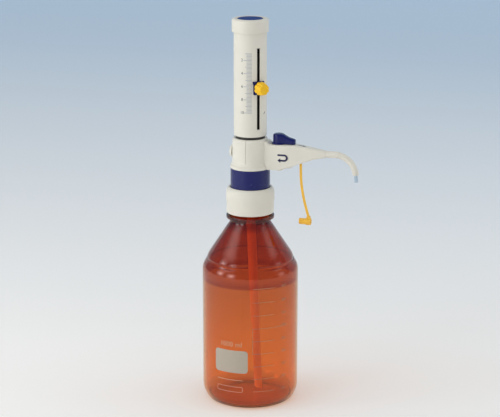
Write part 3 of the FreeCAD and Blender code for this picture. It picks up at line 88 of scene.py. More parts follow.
def add_piece(name, verts, faces, body, slot, smooth_angle=SMOOTH_ANGLE):
    """A mesh piece from millimetre points, on its body and in the finish of its slot."""
    mesh = bpy.data.meshes.new(name)
    mesh.from_pydata([(x * MM, y * MM, z * MM) for x, y, z in verts], [], faces)
    finish_mesh(mesh, smooth_angle)
    piece = add_object(name, mesh)
    paint(piece, MATERIALS[slot])
    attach(piece, body)
    return piece


def arc(across, up, radius, first, last, steps=8):
    """Points of an arc in the half section, angles in degrees."""
    spots = []
    for index in range(steps + 1):
        angle = math.radians(first + (last - first) * index / steps)
        spots.append((across + radius * math.cos(angle), up + radius * math.sin(angle)))
    return spots


def dome(radii, top, drop, reach):
    """Points of a half section that falls by drop from its middle to the radius of its reach."""
    return [(radius, top - drop * (radius / reach) ** 2) for radius in radii]


def rounded(corners, step=15.0):
    """A closed outline; a corner (x, y, radius) is rounded in steps of so many degrees."""
    outline = []
    count = len(corners)
    for index, corner in enumerate(corners):
        if len(corner) == 2:
            outline.append(tuple(corner))
            continue
        here = Vector(corner[:2])
        back = (Vector(corners[index - 1][:2]) - here).normalized()
        ahead = (Vector(corners[(index + 1) % count][:2]) - here).normalized()
        half = back.angle(ahead) / 2
        cut = corner[2] / math.tan(half)
        centre = here + (back + ahead).normalized() * corner[2] / math.sin(half)
        start = here + back * cut - centre
        end = here + ahead * cut - centre
        first = math.atan2(start.y, start.x)
        sweep = math.atan2(start.x * end.y - start.y * end.x, start.dot(end))
        steps = max(2, math.ceil(abs(math.degrees(sweep)) / step))
        for number in range(steps + 1):
            angle = first + sweep * number / steps
            outline.append((centre.x + corner[2] * math.cos(angle),
                            centre.y + corner[2] * math.sin(angle)))
    return outline


def lathe_parts(profile, steps, shape=None):
    """Points and faces of a closed half section turned about the upright axis.

    shape(radius, height, angle) may change the radius from place to place.
    """
    verts, faces, rows = [], [], []
    for radius, height in profile:
        if radius < TINY:
            rows.append([len(verts)] * steps)
            verts.append((0, 0, height))
            continue
        rows.append(list(range(len(verts), len(verts) + steps)))
        for index in range(steps):
            angle = 2 * math.pi * index / steps
            here = shape(radius, height, angle) if shape else radius
            verts.append((here * math.cos(angle), here * math.sin(angle), height))
    count = len(rows)
    for index in range(count):
        low, high = rows[index], rows[(index + 1) % count]
        if low[0] == low[1] and high[0] == high[1]:
            continue
        for number in range(steps):
            after = (number + 1) % steps
            face = [low[number], low[after], high[after], high[number]]
            faces.append(tuple(dict.fromkeys(face)))
    return verts, faces


def lathe(name, profile, body, slot, steps=128, shape=None, smooth_angle=SMOOTH_ANGLE):
    verts, faces = lathe_parts(profile, steps, shape)
    return add_piece(name, verts, faces, body, slot, smooth_angle)


def placed(parts, matrix):
    """The same points and faces, with the points moved by a matrix."""
    verts, faces = parts
    return [tuple(matrix @ Vector(spot)) for spot in verts], faces


def gathered(shells):
    """One set of points and faces from several."""
    verts, faces = [], []
    for more_verts, more_faces in shells:
        start = len(verts)
        verts += more_verts
        faces += [tuple(start + index for index in face) for face in more_faces]
    return verts, faces


def loft(rows):
    """Points and faces of closed rows of points, each joined to the next, both ends shut."""
    count = len(rows[0])
    verts = [spot for row in rows for spot in row]
    faces = []
    for index in range(len(rows) - 1):
        low, high = index * count, (index + 1) * count
        for number in range(count):
            after = (number + 1) % count
            faces.append((low + number, low + after, high + after, high + number))
    faces.append(tuple(range(count)))
    faces.append(tuple(range(len(verts) - 1, len(verts) - 1 - count, -1)))
    return verts, faces


def prism(outline, half):
    """Points and faces of an outline (across, up) drawn out both ways along Y."""
    return loft([[(x, y, z) for x, z in outline] for y in (-half, half)])


def soften(piece, width):
    """Rounds the sharp edges of a piece."""
    bevel = piece.modifiers.new("edges", "BEVEL")
    bevel.width = width * MM
    bevel.segments = 2
    bevel.limit_method = "ANGLE"
    bevel.angle_limit = math.radians(50.0)
    bevel.harden_normals = True


def thicken(piece, depth):
    """Gives a printed mark its small thickness, outwards."""
    solid = piece.modifiers.new("thickness", "SOLIDIFY")
    solid.thickness = depth * MM
    solid.offset = 1.0


# Materials. Noise scales are in cycles per metre, bump distances in metres.

NOISE_ROUGHNESS = 0.55
GLASS_IOR = 1.473
GLASS_STREAKS = 30.0
GLASS_WAVES = 45.0
GLASS_WAVE_DEPTH = 0.0015
GLASS_STRETCH = (1.0, 1.0, 0.35)
AMBER_ROUGHNESS = 0.05
AMBER_LIGHT = (0.97, 0.80, 0.62)
AMBER_DEPTH = (0.75, 0.43, 0.02, 1)
AMBER_DENSITY = 65.0
AMBER_STREAK = (0.95, 0.94, 0.93)
WHITE = (1.0, 1.0, 1.0)
PLASTIC_IOR = 1.5
PLASTIC_CLOUDS = 60.0
PLASTIC_GLOSS = 240.0
PLASTIC_GRAIN = 2600.0
PLASTIC_GRAIN_DEPTH = 0.00008
COAT_ROUGHNESS = 0.12
GLOW_DEPTH = 0.0015
GLOW_RADIUS = (1.0, 0.9, 0.8)
TUBE_IOR = 1.36
TUBE_VEIL = 500.0
TUBE_GRAIN = 1500.0
TUBE_STRETCH = (1.0, 1.0, 0.15)
METAL_LINES = 3000.0
METAL_STRETCH = (1.0, 1.0, 0.1)
ENAMEL_COVER = 900.0
ENAMEL_GRAIN = 5000.0
ENAMEL_ROUGHNESS = 0.45


def set_inputs(node, values):
    for name, value in values.items():
        node.inputs[name].default_value = value


def new_material(name):
    material = bpy.data.materials.new(name)
    material.use_nodes = True
    nodes, links = material.node_tree.nodes, material.node_tree.links
    return material, nodes, links, nodes["Principled BSDF"]


def noise(nodes, links, scale, detail=3.0, stretch=None):
    """Noise over the object's own coordinates."""
    place = nodes.new("ShaderNodeTexCoord").outputs["Object"]
    if stretch:
        mapping = nodes.new("ShaderNodeMapping")
        mapping.inputs["Scale"].default_value = stretch
        links.new(place, mapping.inputs["Vector"])
        place = mapping.outputs["Vector"]
    pattern = nodes.new("ShaderNodeTexNoise")
    set_inputs(pattern, {"Scale": scale, "Detail": detail, "Roughness": NOISE_ROUGHNESS})
    links.new(place, pattern.inputs["Vector"])
    return pattern.outputs["Fac"]


def spread(nodes, links, value, low, high, least=0.3, most=0.7):
    """From low to high as a value goes from least to most."""
    reach = nodes.new("ShaderNodeMapRange")
    set_inputs(reach, {"From Min": least, "From Max": most, "To Min": low, "To Max": high})
    links.new(value, reach.inputs["Value"])
    return reach.outputs["Result"]


def along_axis(nodes, links, axis, start, end):
    """0 to 1 as the object's own coordinate on an axis goes from start to end."""
    place = nodes.new("ShaderNodeTexCoord")
    split = nodes.new("ShaderNodeSeparateXYZ")
    links.new(place.outputs["Object"], split.inputs["Vector"])
    return spread(nodes, links, split.outputs[axis], 0.0, 1.0, start, end)


def blended(nodes, links, factor, first, second):
    mix = nodes.new("ShaderNodeMix")
    mix.data_type = "RGBA"
    set_inputs(mix, {"A": (*first, 1), "B": (*second, 1)})
    links.new(factor, mix.inputs["Factor"])
    return mix.outputs["Result"]


def bumped(nodes, links, shader, height, strength, distance):
    bump = nodes.new("ShaderNodeBump")
    set_inputs(bump, {"Strength": strength, "Distance": distance})
    links.new(height, bump.inputs["Height"])
    links.new(bump.outputs["Normal"], shader.inputs["Normal"])


def mixed(nodes, links, factor, first, second):
    """One shader turning into another by a factor."""
    mix = nodes.new("ShaderNodeMixShader")
    links.new(factor, mix.inputs["Fac"])
    links.new(first, mix.inputs[1])
    links.new(second, mix.inputs[2])
    return mix.outputs["Shader"]


def tinted(colour, share):
    return tuple(channel * share for channel in colour)


def moulded(name, colour, roughness=0.34, grain=0.05, cloud=0.05, coat=0.0, glow=0.0,
            sheen=0.5):
    """Injection-moulded plastic: faint clouding, uneven gloss and a fine moulded grain."""
    material, nodes, links, shader = new_material(name)
    set_inputs(shader, {"IOR": PLASTIC_IOR, "Specular IOR Level": sheen,
                        "Coat Weight": coat, "Coat Roughness": COAT_ROUGHNESS})
    if glow:
        set_inputs(shader, {"Subsurface Weight": glow, "Subsurface Scale": GLOW_DEPTH,
                            "Subsurface Radius": GLOW_RADIUS})
    clouds = noise(nodes, links, PLASTIC_CLOUDS)
    links.new(blended(nodes, links, clouds, tinted(colour, 1 - cloud), tinted(colour, 1 + cloud)),
              shader.inputs["Base Color"])
    gloss = noise(nodes, links, PLASTIC_GLOSS)
    links.new(spread(nodes, links, gloss, roughness - 0.05, roughness + 0.06),
              shader.inputs["Roughness"])
    bumped(nodes, links, shader, noise(nodes, links, PLASTIC_GRAIN, detail=2.0), grain,
           PLASTIC_GRAIN_DEPTH)
    return material


def blown_glass(name, roughness=0.0):
    """Glass that has no colour yet, with the slow waves of a blown wall."""
    material, nodes, links, shader = new_material(name)
    set_inputs(shader, {"IOR": GLASS_IOR, "Transmission Weight": 1.0, "Roughness": roughness})
    bumped(nodes, links, shader, noise(nodes, links, GLASS_WAVES, detail=1.0), 0.06,
           GLASS_WAVE_DEPTH)
    return material, nodes, links, shader


def glass_streaks(nodes, links, dark, pale):
    """Slow upright streaks between two colours."""
    streaks = noise(nodes, links, GLASS_STREAKS, detail=2.0, stretch=GLASS_STRETCH)
    return blended(nodes, links, streaks, dark, pale)


def clear_glass(name, colour):
    material, nodes, links, shader = blown_glass(name)
    links.new(glass_streaks(nodes, links, tinted(colour, 0.97), tinted(colour, 1.03)),
              shader.inputs["Base Color"])
    return material


def any_ray(nodes, links, ways):
    """1 for a ray of any of the named kinds, otherwise 0."""
    ray = nodes.new("ShaderNodeLightPath")
    value = ray.outputs[ways[0]]
    for way in ways[1:]:
        either = nodes.new("ShaderNodeMath")
        either.operation = "MAXIMUM"
        links.new(value, either.inputs[0])
        links.new(ray.outputs[way], either.inputs[1])
        value = either.outputs["Value"]
    return value


def let_through(nodes, links, shader, colour):
    """Lets light shine through glass, stained by it, on to what stands in and behind it."""
    clear = nodes.new("ShaderNodeBsdfTransparent")
    clear.inputs["Color"].default_value = (*colour, 1)
    light = any_ray(nodes, links, ("Is Shadow Ray", "Is Diffuse Ray"))
    surface = mixed(nodes, links, light, shader.outputs["BSDF"], clear.outputs["BSDF"])
    links.new(surface, nodes["Material Output"].inputs["Surface"])


def amber_glass(name, bands):
    """Stained glass whose colour changes with height; bands are (height in mm, colour). Part of
    it is the glass's own tint, deeper where its wall is thick, and part is painted light and
    shade: painted shade in a dark band under the shoulder and on the cone and neck, and painted
    light lifting the base.
    """
    material, nodes, links, shader = blown_glass(name, AMBER_ROUGHNESS)
    top = bands[-1][0]
    ramp = nodes.new("ShaderNodeValToRGB")
    ramp.color_ramp.interpolation = "EASE"
    while len(ramp.color_ramp.elements) < len(bands):
        ramp.color_ramp.elements.new(0.5)
    for stop, (height, colour) in zip(ramp.color_ramp.elements, bands):
        stop.position = height / top
        stop.color = (*colour, 1)
    links.new(along_axis(nodes, links, "Z", 0.0, top * MM), ramp.inputs["Fac"])
    # The height bands carry painted shade and painted light as well as the glass's own tint,
    # multiplied here by the streaks.
    stain_and_shade = nodes.new("ShaderNodeMix")
    stain_and_shade.data_type = "RGBA"
    stain_and_shade.blend_type = "MULTIPLY"
    stain_and_shade.inputs["Factor"].default_value = 1.0
    links.new(ramp.outputs["Color"], stain_and_shade.inputs["A"])
    links.new(glass_streaks(nodes, links, AMBER_STREAK, WHITE), stain_and_shade.inputs["B"])
    links.new(stain_and_shade.outputs["Result"], shader.inputs["Base Color"])
    depth = nodes.new("ShaderNodeVolumeAbsorption")
    set_inputs(depth, {"Color": AMBER_DEPTH, "Density": AMBER_DENSITY})
    links.new(depth.outputs["Volume"], nodes["Material Output"].inputs["Volume"])
    let_through(nodes, links, shader, AMBER_LIGHT)
    return material


def clear_plastic(name, colour, share, roughness):
    """Fluoropolymer tube: milky, so a share of the light passes and the rest is scattered."""
    material, nodes, links, shader = new_material(name)
    set_inputs(shader, {"IOR": TUBE_IOR, "Transmission Weight": share})
    veil = noise(nodes, links, TUBE_VEIL, stretch=TUBE_STRETCH)
    links.new(blended(nodes, links, veil, tinted(colour, 0.94), colour),
              shader.inputs["Base Color"])
    links.new(spread(nodes, links, veil, roughness - 0.05, roughness + 0.08),
              shader.inputs["Roughness"])
    bumped(nodes, links, shader, noise(nodes, links, TUBE_GRAIN), 0.05, 0.0001)
    return material


def metal(name, colour, roughness):
    """Turned or drawn metal with fine lines along its travel."""
    material, nodes, links, shader = new_material(name)
    shader.inputs["Metallic"].default_value = 1.0
    lines = noise(nodes, links, METAL_LINES, stretch=METAL_STRETCH)
    links.new(blended(nodes, links, lines, tinted(colour, 0.85), colour),
              shader.inputs["Base Color"])
    links.new(spread(nodes, links, lines, roughness - 0.08, roughness + 0.1),
              shader.inputs["Roughness"])
    bumped(nodes, links, shader, lines, 0.1, 0.00005)
    return material


def enamel(name, colour):
    """Fired print: slightly uneven in cover, with a grainy face."""
    material, nodes, links, shader = new_material(name)
    cover = noise(nodes, links, ENAMEL_COVER, detail=4.0)
    links.new(blended(nodes, links, cover, tinted(colour, 0.9), tinted(colour, 1.06)),
              shader.inputs["Base Color"])
    shader.inputs["Roughness"].default_value = ENAMEL_ROUGHNESS
    bumped(nodes, links, shader, noise(nodes, links, ENAMEL_GRAIN), 0.15, 0.00003)
    return material


MATERIALS = {
    "amber_glass": amber_glass("amber_glass", [
        # Up to 12 mm the tones are lifted: painted light against the shade under the bottle's
        # base.
        (0.0, (0.70, 0.34, 0.14)),
        (8.5, (0.78, 0.36, 0.14)),
        (12.0, (0.93, 0.42, 0.12)),
        (24.0, (0.96, 0.435, 0.105)),
        (80.0, (0.86, 0.38, 0.10)),
        (131.0, (0.77, 0.33, 0.095)),
        # Just under the shoulder a dark band is painted shade where the back shoulder shows
        # through. The cone and neck bands above are darker partly for the thicker glass and
        # partly as painted shade of the longer light path through their slanted walls.
        (133.5, (0.50, 0.11, 0.03)),
        (141.0, (0.62, 0.18, 0.05)),
        (184.0, (0.60, 0.15, 0.045)),
        (191.0, (0.36, 0.07, 0.025)),
        (225.0, (0.34, 0.06, 0.02)),
    ]),
    "clear_glass": clear_glass("clear_glass", (0.96, 0.98, 0.98)),
    "clear_tube": clear_plastic("clear_tube", (0.70, 0.84, 0.95), 0.45, 0.3),
    "white_plastic": moulded("white_plastic", (0.775, 0.755, 0.675), 0.36, glow=0.05,
                             sheen=0.3),
    "blue_plastic": moulded("blue_plastic", (0.006, 0.010, 0.115), 0.22, grain=0.02,
                            cloud=0.02, sheen=0.35),
    "yellow_plastic": moulded("yellow_plastic", (0.97, 0.58, 0.015), 0.30, glow=0.08,
                              sheen=0.3),
    "orange_strap": moulded("orange_strap", (0.94, 0.55, 0.07), 0.42, grain=0.09, glow=0.1,
                            sheen=0.3),
    "dark_plastic": moulded("dark_plastic", (0.03, 0.028, 0.024), 0.45, grain=0.1),
    "fluoropolymer": moulded("fluoropolymer", (0.82, 0.82, 0.80), 0.48, grain=0.1, glow=0.1),
    "ceramic": moulded("ceramic", (0.86, 0.85, 0.80), 0.14, grain=0.02, cloud=0.02, coat=0.4),
    "seal": moulded("seal", (0.60, 0.60, 0.56), 0.6, grain=0.15),
    "steel": metal("steel", (0.62, 0.61, 0.58), 0.3),
    "spring_metal": metal("spring_metal", (0.55, 0.54, 0.50), 0.28),
}
# The suction tube inside the bottle is a whitish tube. Its orange colour is painted light: the
# amber-stained light that falls on it through the glass.
TUBE_PAINTED_AMBER_LIGHT = clear_plastic("tube_painted_amber_light", (0.95, 0.42, 0.12), 0.06, 0.35)
CAP_INLAY = moulded("cap_inlay", (0.018, 0.055, 0.24), 0.55, grain=0.04, cloud=0.03, sheen=0.1)
PRINT_FIELD = enamel("print_field", (0.46, 0.40, 0.325))
PRINT_WHITE = enamel("print_white", (0.60, 0.40, 0.25))
PRINT_LINE = enamel("print_line", (0.46, 0.24, 0.11))
PRINT_FAINT = enamel("print_faint", (0.34, 0.19, 0.10))
PRINT_SCALE = enamel("print_scale", (0.24, 0.31, 0.42))
PRINT_DARK = enamel("print_dark", (0.035, 0.04, 0.06))
PRINT_BLUE = enamel("print_blue", (0.012, 0.012, 0.07))


# Camera

VIEW_TURN = math.radians(15.0)
VIEW_DISTANCE = 1.793
VIEW_HEIGHT = 0.674
VIEW_DROP = math.radians(14.61)
VIEW_ASIDE = 0.0003
SENSOR_WIDTH = 36.0
LENS_IN_PIXELS = 1769.0
FRAME_IN_PIXELS = 500.0
CLIP_END = 50.0


def aim(thing, target):
    way = Vector(target) - thing.location
    thing.rotation_euler = way.to_track_quat("-Z", "Y").to_euler()


def make_camera():
    lens = bpy.data.cameras.new("camera")
    lens.sensor_width = SENSOR_WIDTH
    lens.lens = SENSOR_WIDTH * LENS_IN_PIXELS / FRAME_IN_PIXELS
    lens.clip_end = CLIP_END
    camera = add_object("camera", lens)
    camera.location = (math.sin(VIEW_TURN) * VIEW_DISTANCE,
                       -math.cos(VIEW_TURN) * VIEW_DISTANCE, VIEW_HEIGHT)
    aim(camera, (-VIEW_ASIDE * math.cos(VIEW_TURN), -VIEW_ASIDE * math.sin(VIEW_TURN),
                 VIEW_HEIGHT - VIEW_DISTANCE * math.tan(VIEW_DROP)))
    bpy.context.scene.camera = camera


make_camera()


# Strap of the closure cap

STRAP_ROUTE = [
    (54.0, 257.6),
    (54.0, 247.48),
    (54.9, 234.5),
    (57.5, 220.48),
    (60.1, 210.3),
    (62.4, 202.6),
]
STRAP_WIDTH = 2.6
STRAP_THICKNESS = 1.4
STRAP_CORNER = 0.35
CLOSURE_START = 51.6
CLOSURE_AXIS = 196.9
CLOSURE_RADIUS = 3.2
CLOSURE_RIBS = 14
RIB_DEPTH = 0.2


def evaluated_mesh(holder):
    """The mesh that a curve or text object draws; the object itself is removed."""
    bpy.context.view_layer.update()
    graph = bpy.context.evaluated_depsgraph_get()
    mesh = bpy.data.meshes.new_from_object(holder.evaluated_get(graph))
    bpy.data.objects.remove(holder)
    return mesh


def route_points(spots):
    """The smooth line that a route's points draw, read from its own spline."""
    line = bpy.data.curves.new("route", "CURVE")
    line.dimensions = "3D"
    spline = line.splines.new("NURBS")
    spline.points.add(len(spots) - 1)
    for knot, (x, y, z) in zip(spline.points, spots):
        knot.co = (x * MM, y * MM, z * MM, 1)
    spline.order_u = 3
    spline.use_endpoint_u = True
    spline.resolution_u = 8
    mesh = evaluated_mesh(add_object("route", line))
    points = [vert.co.copy() for vert in mesh.vertices]
    bpy.data.meshes.remove(mesh)
    bpy.data.curves.remove(line)
    return points


def make_strap(cap):
    path = route_points([(x, 0, z) for x, z in STRAP_ROUTE])
    wide_half, deep_half = STRAP_WIDTH / 2, STRAP_THICKNESS / 2
    section = rounded([
        (-wide_half, -deep_half, STRAP_CORNER), (wide_half, -deep_half, STRAP_CORNER),
        (wide_half, deep_half, STRAP_CORNER), (-wide_half, deep_half, STRAP_CORNER),
    ], 30.0)
    rows = []
    side = Vector((0, 1, 0))
    for index, spot in enumerate(path):
        ahead = path[min(index + 1, len(path) - 1)] - path[max(index - 1, 0)]
        across = side.cross(ahead).normalized()
        rows.append([tuple(spot / MM + across * wide + side * deep) for wide, deep in section])
    strap = add_piece("closure_strap", *loft(rows), "block", "orange_strap", 50.0)
    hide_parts("cap_strap")


def make_closure():
    """Closure cap at the strap's end: ribbed barrel, rim and lug."""
    profile = rounded([
        (0, 1.1), (CLOSURE_RADIUS, 1.1, 1.0), (CLOSURE_RADIUS, 2.6), (CLOSURE_RADIUS, 2.9),
        (CLOSURE_RADIUS, 7.3), (CLOSURE_RADIUS, 7.6), (CLOSURE_RADIUS, 8.4, 0.2),
        (3.7, 9.0, 0.3), (3.7, 13.7, 0.6), (1.95, 13.7, 0.2), (1.95, 5.7, 0.2), (0, 5.7),
    ])

    def ribs(radius, along, angle):
        if abs(radius - CLOSURE_RADIUS) < TINY and 2.8 < along < 7.4:
            return radius - RIB_DEPTH * (1 - math.cos(CLOSURE_RIBS * angle))
        return radius

    barrel = placed(lathe_parts(profile, 112, ribs),
                    Matrix.Translation((CLOSURE_START, 0, CLOSURE_AXIS))
                    @ Matrix.Rotation(math.radians(90.0), 4, "Y"))
    lug = prism(rounded([
        (CLOSURE_START + 8.9, 199.6), (CLOSURE_START + 13.2, 199.6),
        (CLOSURE_START + 12.9, 202.55, 0.8), (CLOSURE_START + 9.2, 202.55, 0.8),
    ]), 1.5)
    cap = add_piece("closure_cap", *gathered([barrel, lug]), "block", "orange_strap", 40.0)
    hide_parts("nozzle_cap")
    return cap


make_strap(make_closure())


# Bottle and its collar

THREAD_START = 208.0
THREAD_PITCH = 4.0
THREAD_TURNS = 1.8
THREAD_HEIGHT = 0.8
RIDGE_TOP = 0.12
RIDGE_FLANK = 0.14
RIDGE_FADE = 0.15
NECK_ROOT = 21.4
COLLAR_ROOT = 22.6
MOUTH_RADIUS = 16.2
BODY_OUT = 50.5
BODY_IN = 48.3
SHOULDER = (34.0, 141.6)
HEEL = (26.5, 17.177)
GLASS_SHARE = 0.9984


def thread_rise(height, angle, turns, lead=0.0):
    """Height of a thread's ridge at a place on its wall, fading in and out at its ends."""
    travel = (height - THREAD_START) / THREAD_PITCH - angle / (2 * math.pi) - lead
    turn = round(travel)
    if turn < 0 or turn > turns:
        return 0.0
    ridge = max(0.0, 1.0 - max(0.0, abs(travel - turn) - RIDGE_TOP) / RIDGE_FLANK)
    along = turn + angle / (2 * math.pi)
    fade = min(1.0, along / RIDGE_FADE, (turns - along) / RIDGE_FADE)
    return THREAD_HEIGHT * (ridge * max(0.0, fade))


def make_bottle():
    """The outside from the base up to the mouth, and the inside back down."""
    # Base, heel and straight body
    outer = dome((0, 8, 16, 23, 29, 34), 5.4, 4.6, 36.0)
    outer += arc(39.607, 8.0, 8.0, -106, -35, 10)
    outer += arc(*HEEL, 24.0, -35, 0, 8)[1:]
    outer += [(BODY_OUT, height) for height in range(25, 136, 11)]
    # Shoulder, ledge and cone
    outer += arc(*SHOULDER, 16.5, 0, 38, 10)
    outer += rounded([(46.9, 152.2), (46.4, 153.2, 0.6), (45.5, 153.8, 0.7),
                      (45.35, 155.8, 2.2), (43.9, 159.4)])
    outer += [(39.6, 165.8), (35.6, 171.9), (31.7, 177.8), (28.6, 182.5), (26.0, 186.6)]
    # Neck with its bead, thread and mouth
    outer += arc(29.9, 196.4, 8.7, 213, 184, 5)
    outer += [(21.2, 196.4)]
    outer += rounded([(21.2, 196.8, 0.8), (25.2, 197.6, 1.1), (25.2, 201.3, 1.1),
                      (NECK_ROOT, 202.2, 0.8), (NECK_ROOT, 204.4)])[1:]
    outer += [(NECK_ROOT, 205.0 + step * 0.5) for step in range(33)]
    outer += rounded([(NECK_ROOT, 222.0), (21.9, 225.0, 1.6), (MOUTH_RADIUS, 225.0, 1.6),
                      (MOUTH_RADIUS, 221.0)])
    # The inside: neck and cone, shoulder, body, heel and floor
    inner = [(MOUTH_RADIUS, 206.0), (MOUTH_RADIUS, 199.0), (17.0, 196.4), (21.2, 190.0),
             (24.2, 185.2), (27.0, 180.9), (31.0, 174.9), (35.0, 168.9), (39.0, 162.8),
             (42.3, 157.7), (43.4, 155.0), (44.1, 152.6)]
    inner += arc(*SHOULDER, 14.3, 43, 0, 9)
    inner += [(BODY_IN, height) for height in range(132, 20, -12)]
    inner += arc(*HEEL, 21.8, 0, -35, 8)
    inner += arc(39.0, 9.3, 6.0, -50, -108, 6)
    inner += dome((32, 24, 16, 8, 0), 9.0, 5.2, 40.0)

    def shape(radius, height, angle):
        if abs(radius - NECK_ROOT) < TINY and 204.9 < height < 221.2:
            return radius + thread_rise(height, angle, THREAD_TURNS)
        return radius * GLASS_SHARE

    bottle = lathe("bottle_glass", outer + inner, "bottle", "amber_glass", 192, shape, 50.0)
    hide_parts("bottle")


def make_collar():
    profile = rounded([(22.9, 203.6, 0.3), (24.9, 203.6, 0.9), (24.9, 216.4), (25.4, 217.6),
                       (25.4, 225.6)])
    profile += arc(18.9, 225.4, 6.5, 2, 56, 9)
    profile += rounded([(22.1, 231.0, 0.4), (20.95, 230.9, 0.3), (20.95, 229.9, 0.1),
                        (23.15, 229.9, 0.2), (23.15, 225.0, 0.2), (COLLAR_ROOT, 224.5)])
    profile += [(COLLAR_ROOT, 223.0 - step * 0.5) for step in range(37)]

    def shape(radius, height, angle):
        if abs(radius - COLLAR_ROOT) < TINY and 205.5 < height < 222.5:
            return radius - thread_rise(height, angle, THREAD_TURNS + 1, 0.5)
        return radius

    collar = lathe("screw_collar", profile, "collar", "white_plastic", 160, shape)
    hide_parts("collar")


make_bottle()
make_collar()


# Sleeve with its slot, and its cap

SLEEVE_OUT = 17.1
SLEEVE_IN = 15.4
SLEEVE_LOW = 285.9
SLEEVE_HIGH = 400.0
SLEEVE_BEVEL = 0.55
SLOT_ANGLE = -45.0
SLOT_LOW = 293.8
SLOT_HIGH = 378.1
SLOT_HALF = 1.6
SLOT_CUT = 1.4
SLOT_LIP = 0.4
SLOT_FLARE = 1.3
CAP_SEAT = 405.2
DISC_RADIUS = 13.0
DISC_CROWN = 406.7


def make_sleeve():
    """A tube whose columns of points are set so that two of them are the slot's edges."""
    flare = math.asin(SLOT_FLARE / SLEEVE_IN)
    near = math.asin(SLOT_HALF / SLEEVE_OUT)
    left = math.asin((SLOT_HALF + SLOT_CUT) / SLEEVE_OUT)
    right = math.asin((SLOT_HALF + SLOT_LIP) / SLEEVE_OUT)
    count = 120
    rest = 2 * math.pi - (left + right)
    spans = [-left, -near, near, right]
    spans += [right + rest * number / count for number in range(1, count)]
    columns = [math.radians(SLOT_ANGLE) + span for span in spans]
    turn_inside = {0: -flare * 1.2, 1: -flare, 2: flare, 3: flare * 1.2}
    rises = [SLEEVE_LOW, SLEEVE_LOW + SLEEVE_BEVEL, 289.0, SLOT_LOW - SLOT_LIP, SLOT_LOW,
             300.0, 320.0, 340.0, 360.0, SLOT_HIGH, SLOT_HIGH + SLOT_LIP, 385.0, 393.0,
             SLEEVE_HIGH - SLEEVE_BEVEL, SLEEVE_HIGH]
    ends = (0, len(rises) - 1)
    rows_in_slot = [row for row, z in enumerate(rises) if SLOT_LOW <= z <= SLOT_HIGH]
    verts, faces = [], []
    for row, z in enumerate(rises):
        for column, angle in enumerate(columns):
            radius = SLEEVE_OUT
            if row in ends:
                radius -= SLEEVE_BEVEL
            if row in rows_in_slot and column in (1, 2):
                radius -= SLEEVE_BEVEL
            verts.append((radius * math.cos(angle), radius * math.sin(angle), z))
    layer = len(verts)
    for z in rises:
        for column, angle in enumerate(columns):
            angle += turn_inside.get(column, 0.0)
            verts.append((SLEEVE_IN * math.cos(angle), SLEEVE_IN * math.sin(angle), z))
    width = len(columns)

    def at(side, row, column):
        return side * layer + row * width + column % width

    first, last = rows_in_slot[0], rows_in_slot[-1]
    for row in range(len(rises) - 1):
        for column in range(width):
            if first <= row < last and column == 1:
                continue
            for side in (0, 1):
                faces.append((at(side, row, column), at(side, row, column + 1),
                              at(side, row + 1, column + 1), at(side, row + 1, column)))
    for row in ends:
        for column in range(width):
            faces.append((at(0, row, column), at(0, row, column + 1),
                          at(1, row, column + 1), at(1, row, column)))
    for row in range(first, last):
        for column in (1, 2):
            faces.append((at(0, row, column), at(0, row + 1, column),
                          at(1, row + 1, column), at(1, row, column)))
    for row in (first, last):
        faces.append((at(0, row, 1), at(0, row, 2), at(1, row, 2), at(1, row, 1)))
    sleeve = add_piece("dosing_sleeve", verts, faces, "plunger", "white_plastic", 28.0)
    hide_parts("sleeve")


def make_cap():
    profile = rounded([
        (0, SLEEVE_HIGH), (17.15, SLEEVE_HIGH), (17.15, 393.5, 0.1), (19.1, 393.5, 0.5),
        (19.1, 407.2, 2.3), (15.1, 407.2, 0.25), (14.9, 406.6, 0.2), (14.3, 406.6, 0.2),
        (14.1, 407.1, 0.25), (13.4, 407.0, 0.3), (13.4, CAP_SEAT), (0, CAP_SEAT),
    ])
    cap = lathe("sleeve_cap", profile, "plunger", "white_plastic")
    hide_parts("top_cap")
    crown = [(0, CAP_SEAT), (DISC_RADIUS, CAP_SEAT), (DISC_RADIUS, 406.9), (12.6, 407.2)]
    crown += [(DISC_RADIUS * math.sin(math.radians(a)), DISC_CROWN + math.cos(math.radians(a)))
              for a in range(70, -1, -10)]
    disc = lathe("cap_inlay", crown, "plunger", "blue_plastic")
    paint(disc, CAP_INLAY)
    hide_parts("cap_disc")


make_sleeve()
make_cap()


# Marks printed on round and flat faces. They are drawn flat, x across and y up.

PRINT_DEPTH = 0.04
BEND_STEP = math.radians(3.0)


def flat_piece(name, outlines):
    """A flat piece with one face for each millimetre outline."""
    mesh = bpy.data.meshes.new(name)
    with editing(mesh) as work:
        for outline in outlines:
            work.faces.new([work.verts.new((x, y, 0)) for x, y in outline])
    return add_object(name, mesh)


def text_outline(name, words, size, thinner=0.0):
    """A flat piece with a line of text, centred on the origin."""
    line = bpy.data.curves.new(name, "FONT")
    line.body = words
    line.size = size
    line.align_x = "CENTER"
    line.align_y = "CENTER"
    line.resolution_u = 3
    line.offset = -thinner
    return add_object(name, evaluated_mesh(add_object(name, line)))


def shifted(piece, x, y):
    piece.matrix_basis = Matrix.Translation((x, y, 0))
    return piece


def join(name, pieces):
    """One piece from several flat ones."""
    mesh = bpy.data.meshes.new(name)
    with editing(mesh) as work:
        for piece in pieces:
            part = piece.data.copy()
            part.transform(piece.matrix_basis)
            work.from_mesh(part)
            bpy.data.meshes.remove(part)
            bpy.data.objects.remove(piece)
    return add_object(name, mesh)


def slice_mesh(piece, step):
    """Cuts a flat mesh by upright lines every step millimetres, so that it can be bent."""
    with editing(piece.data) as work:
        spots = [vert.co.x for vert in work.verts]
        number = math.floor(min(spots) / step) + 1
        while number * step < max(spots):
            bmesh.ops.bisect_plane(work, geom=work.verts[:] + work.edges[:] + work.faces[:],
                                   plane_co=(number * step, 0, 0), plane_no=(1, 0, 0),
                                   dist=1e-5)
            number += 1


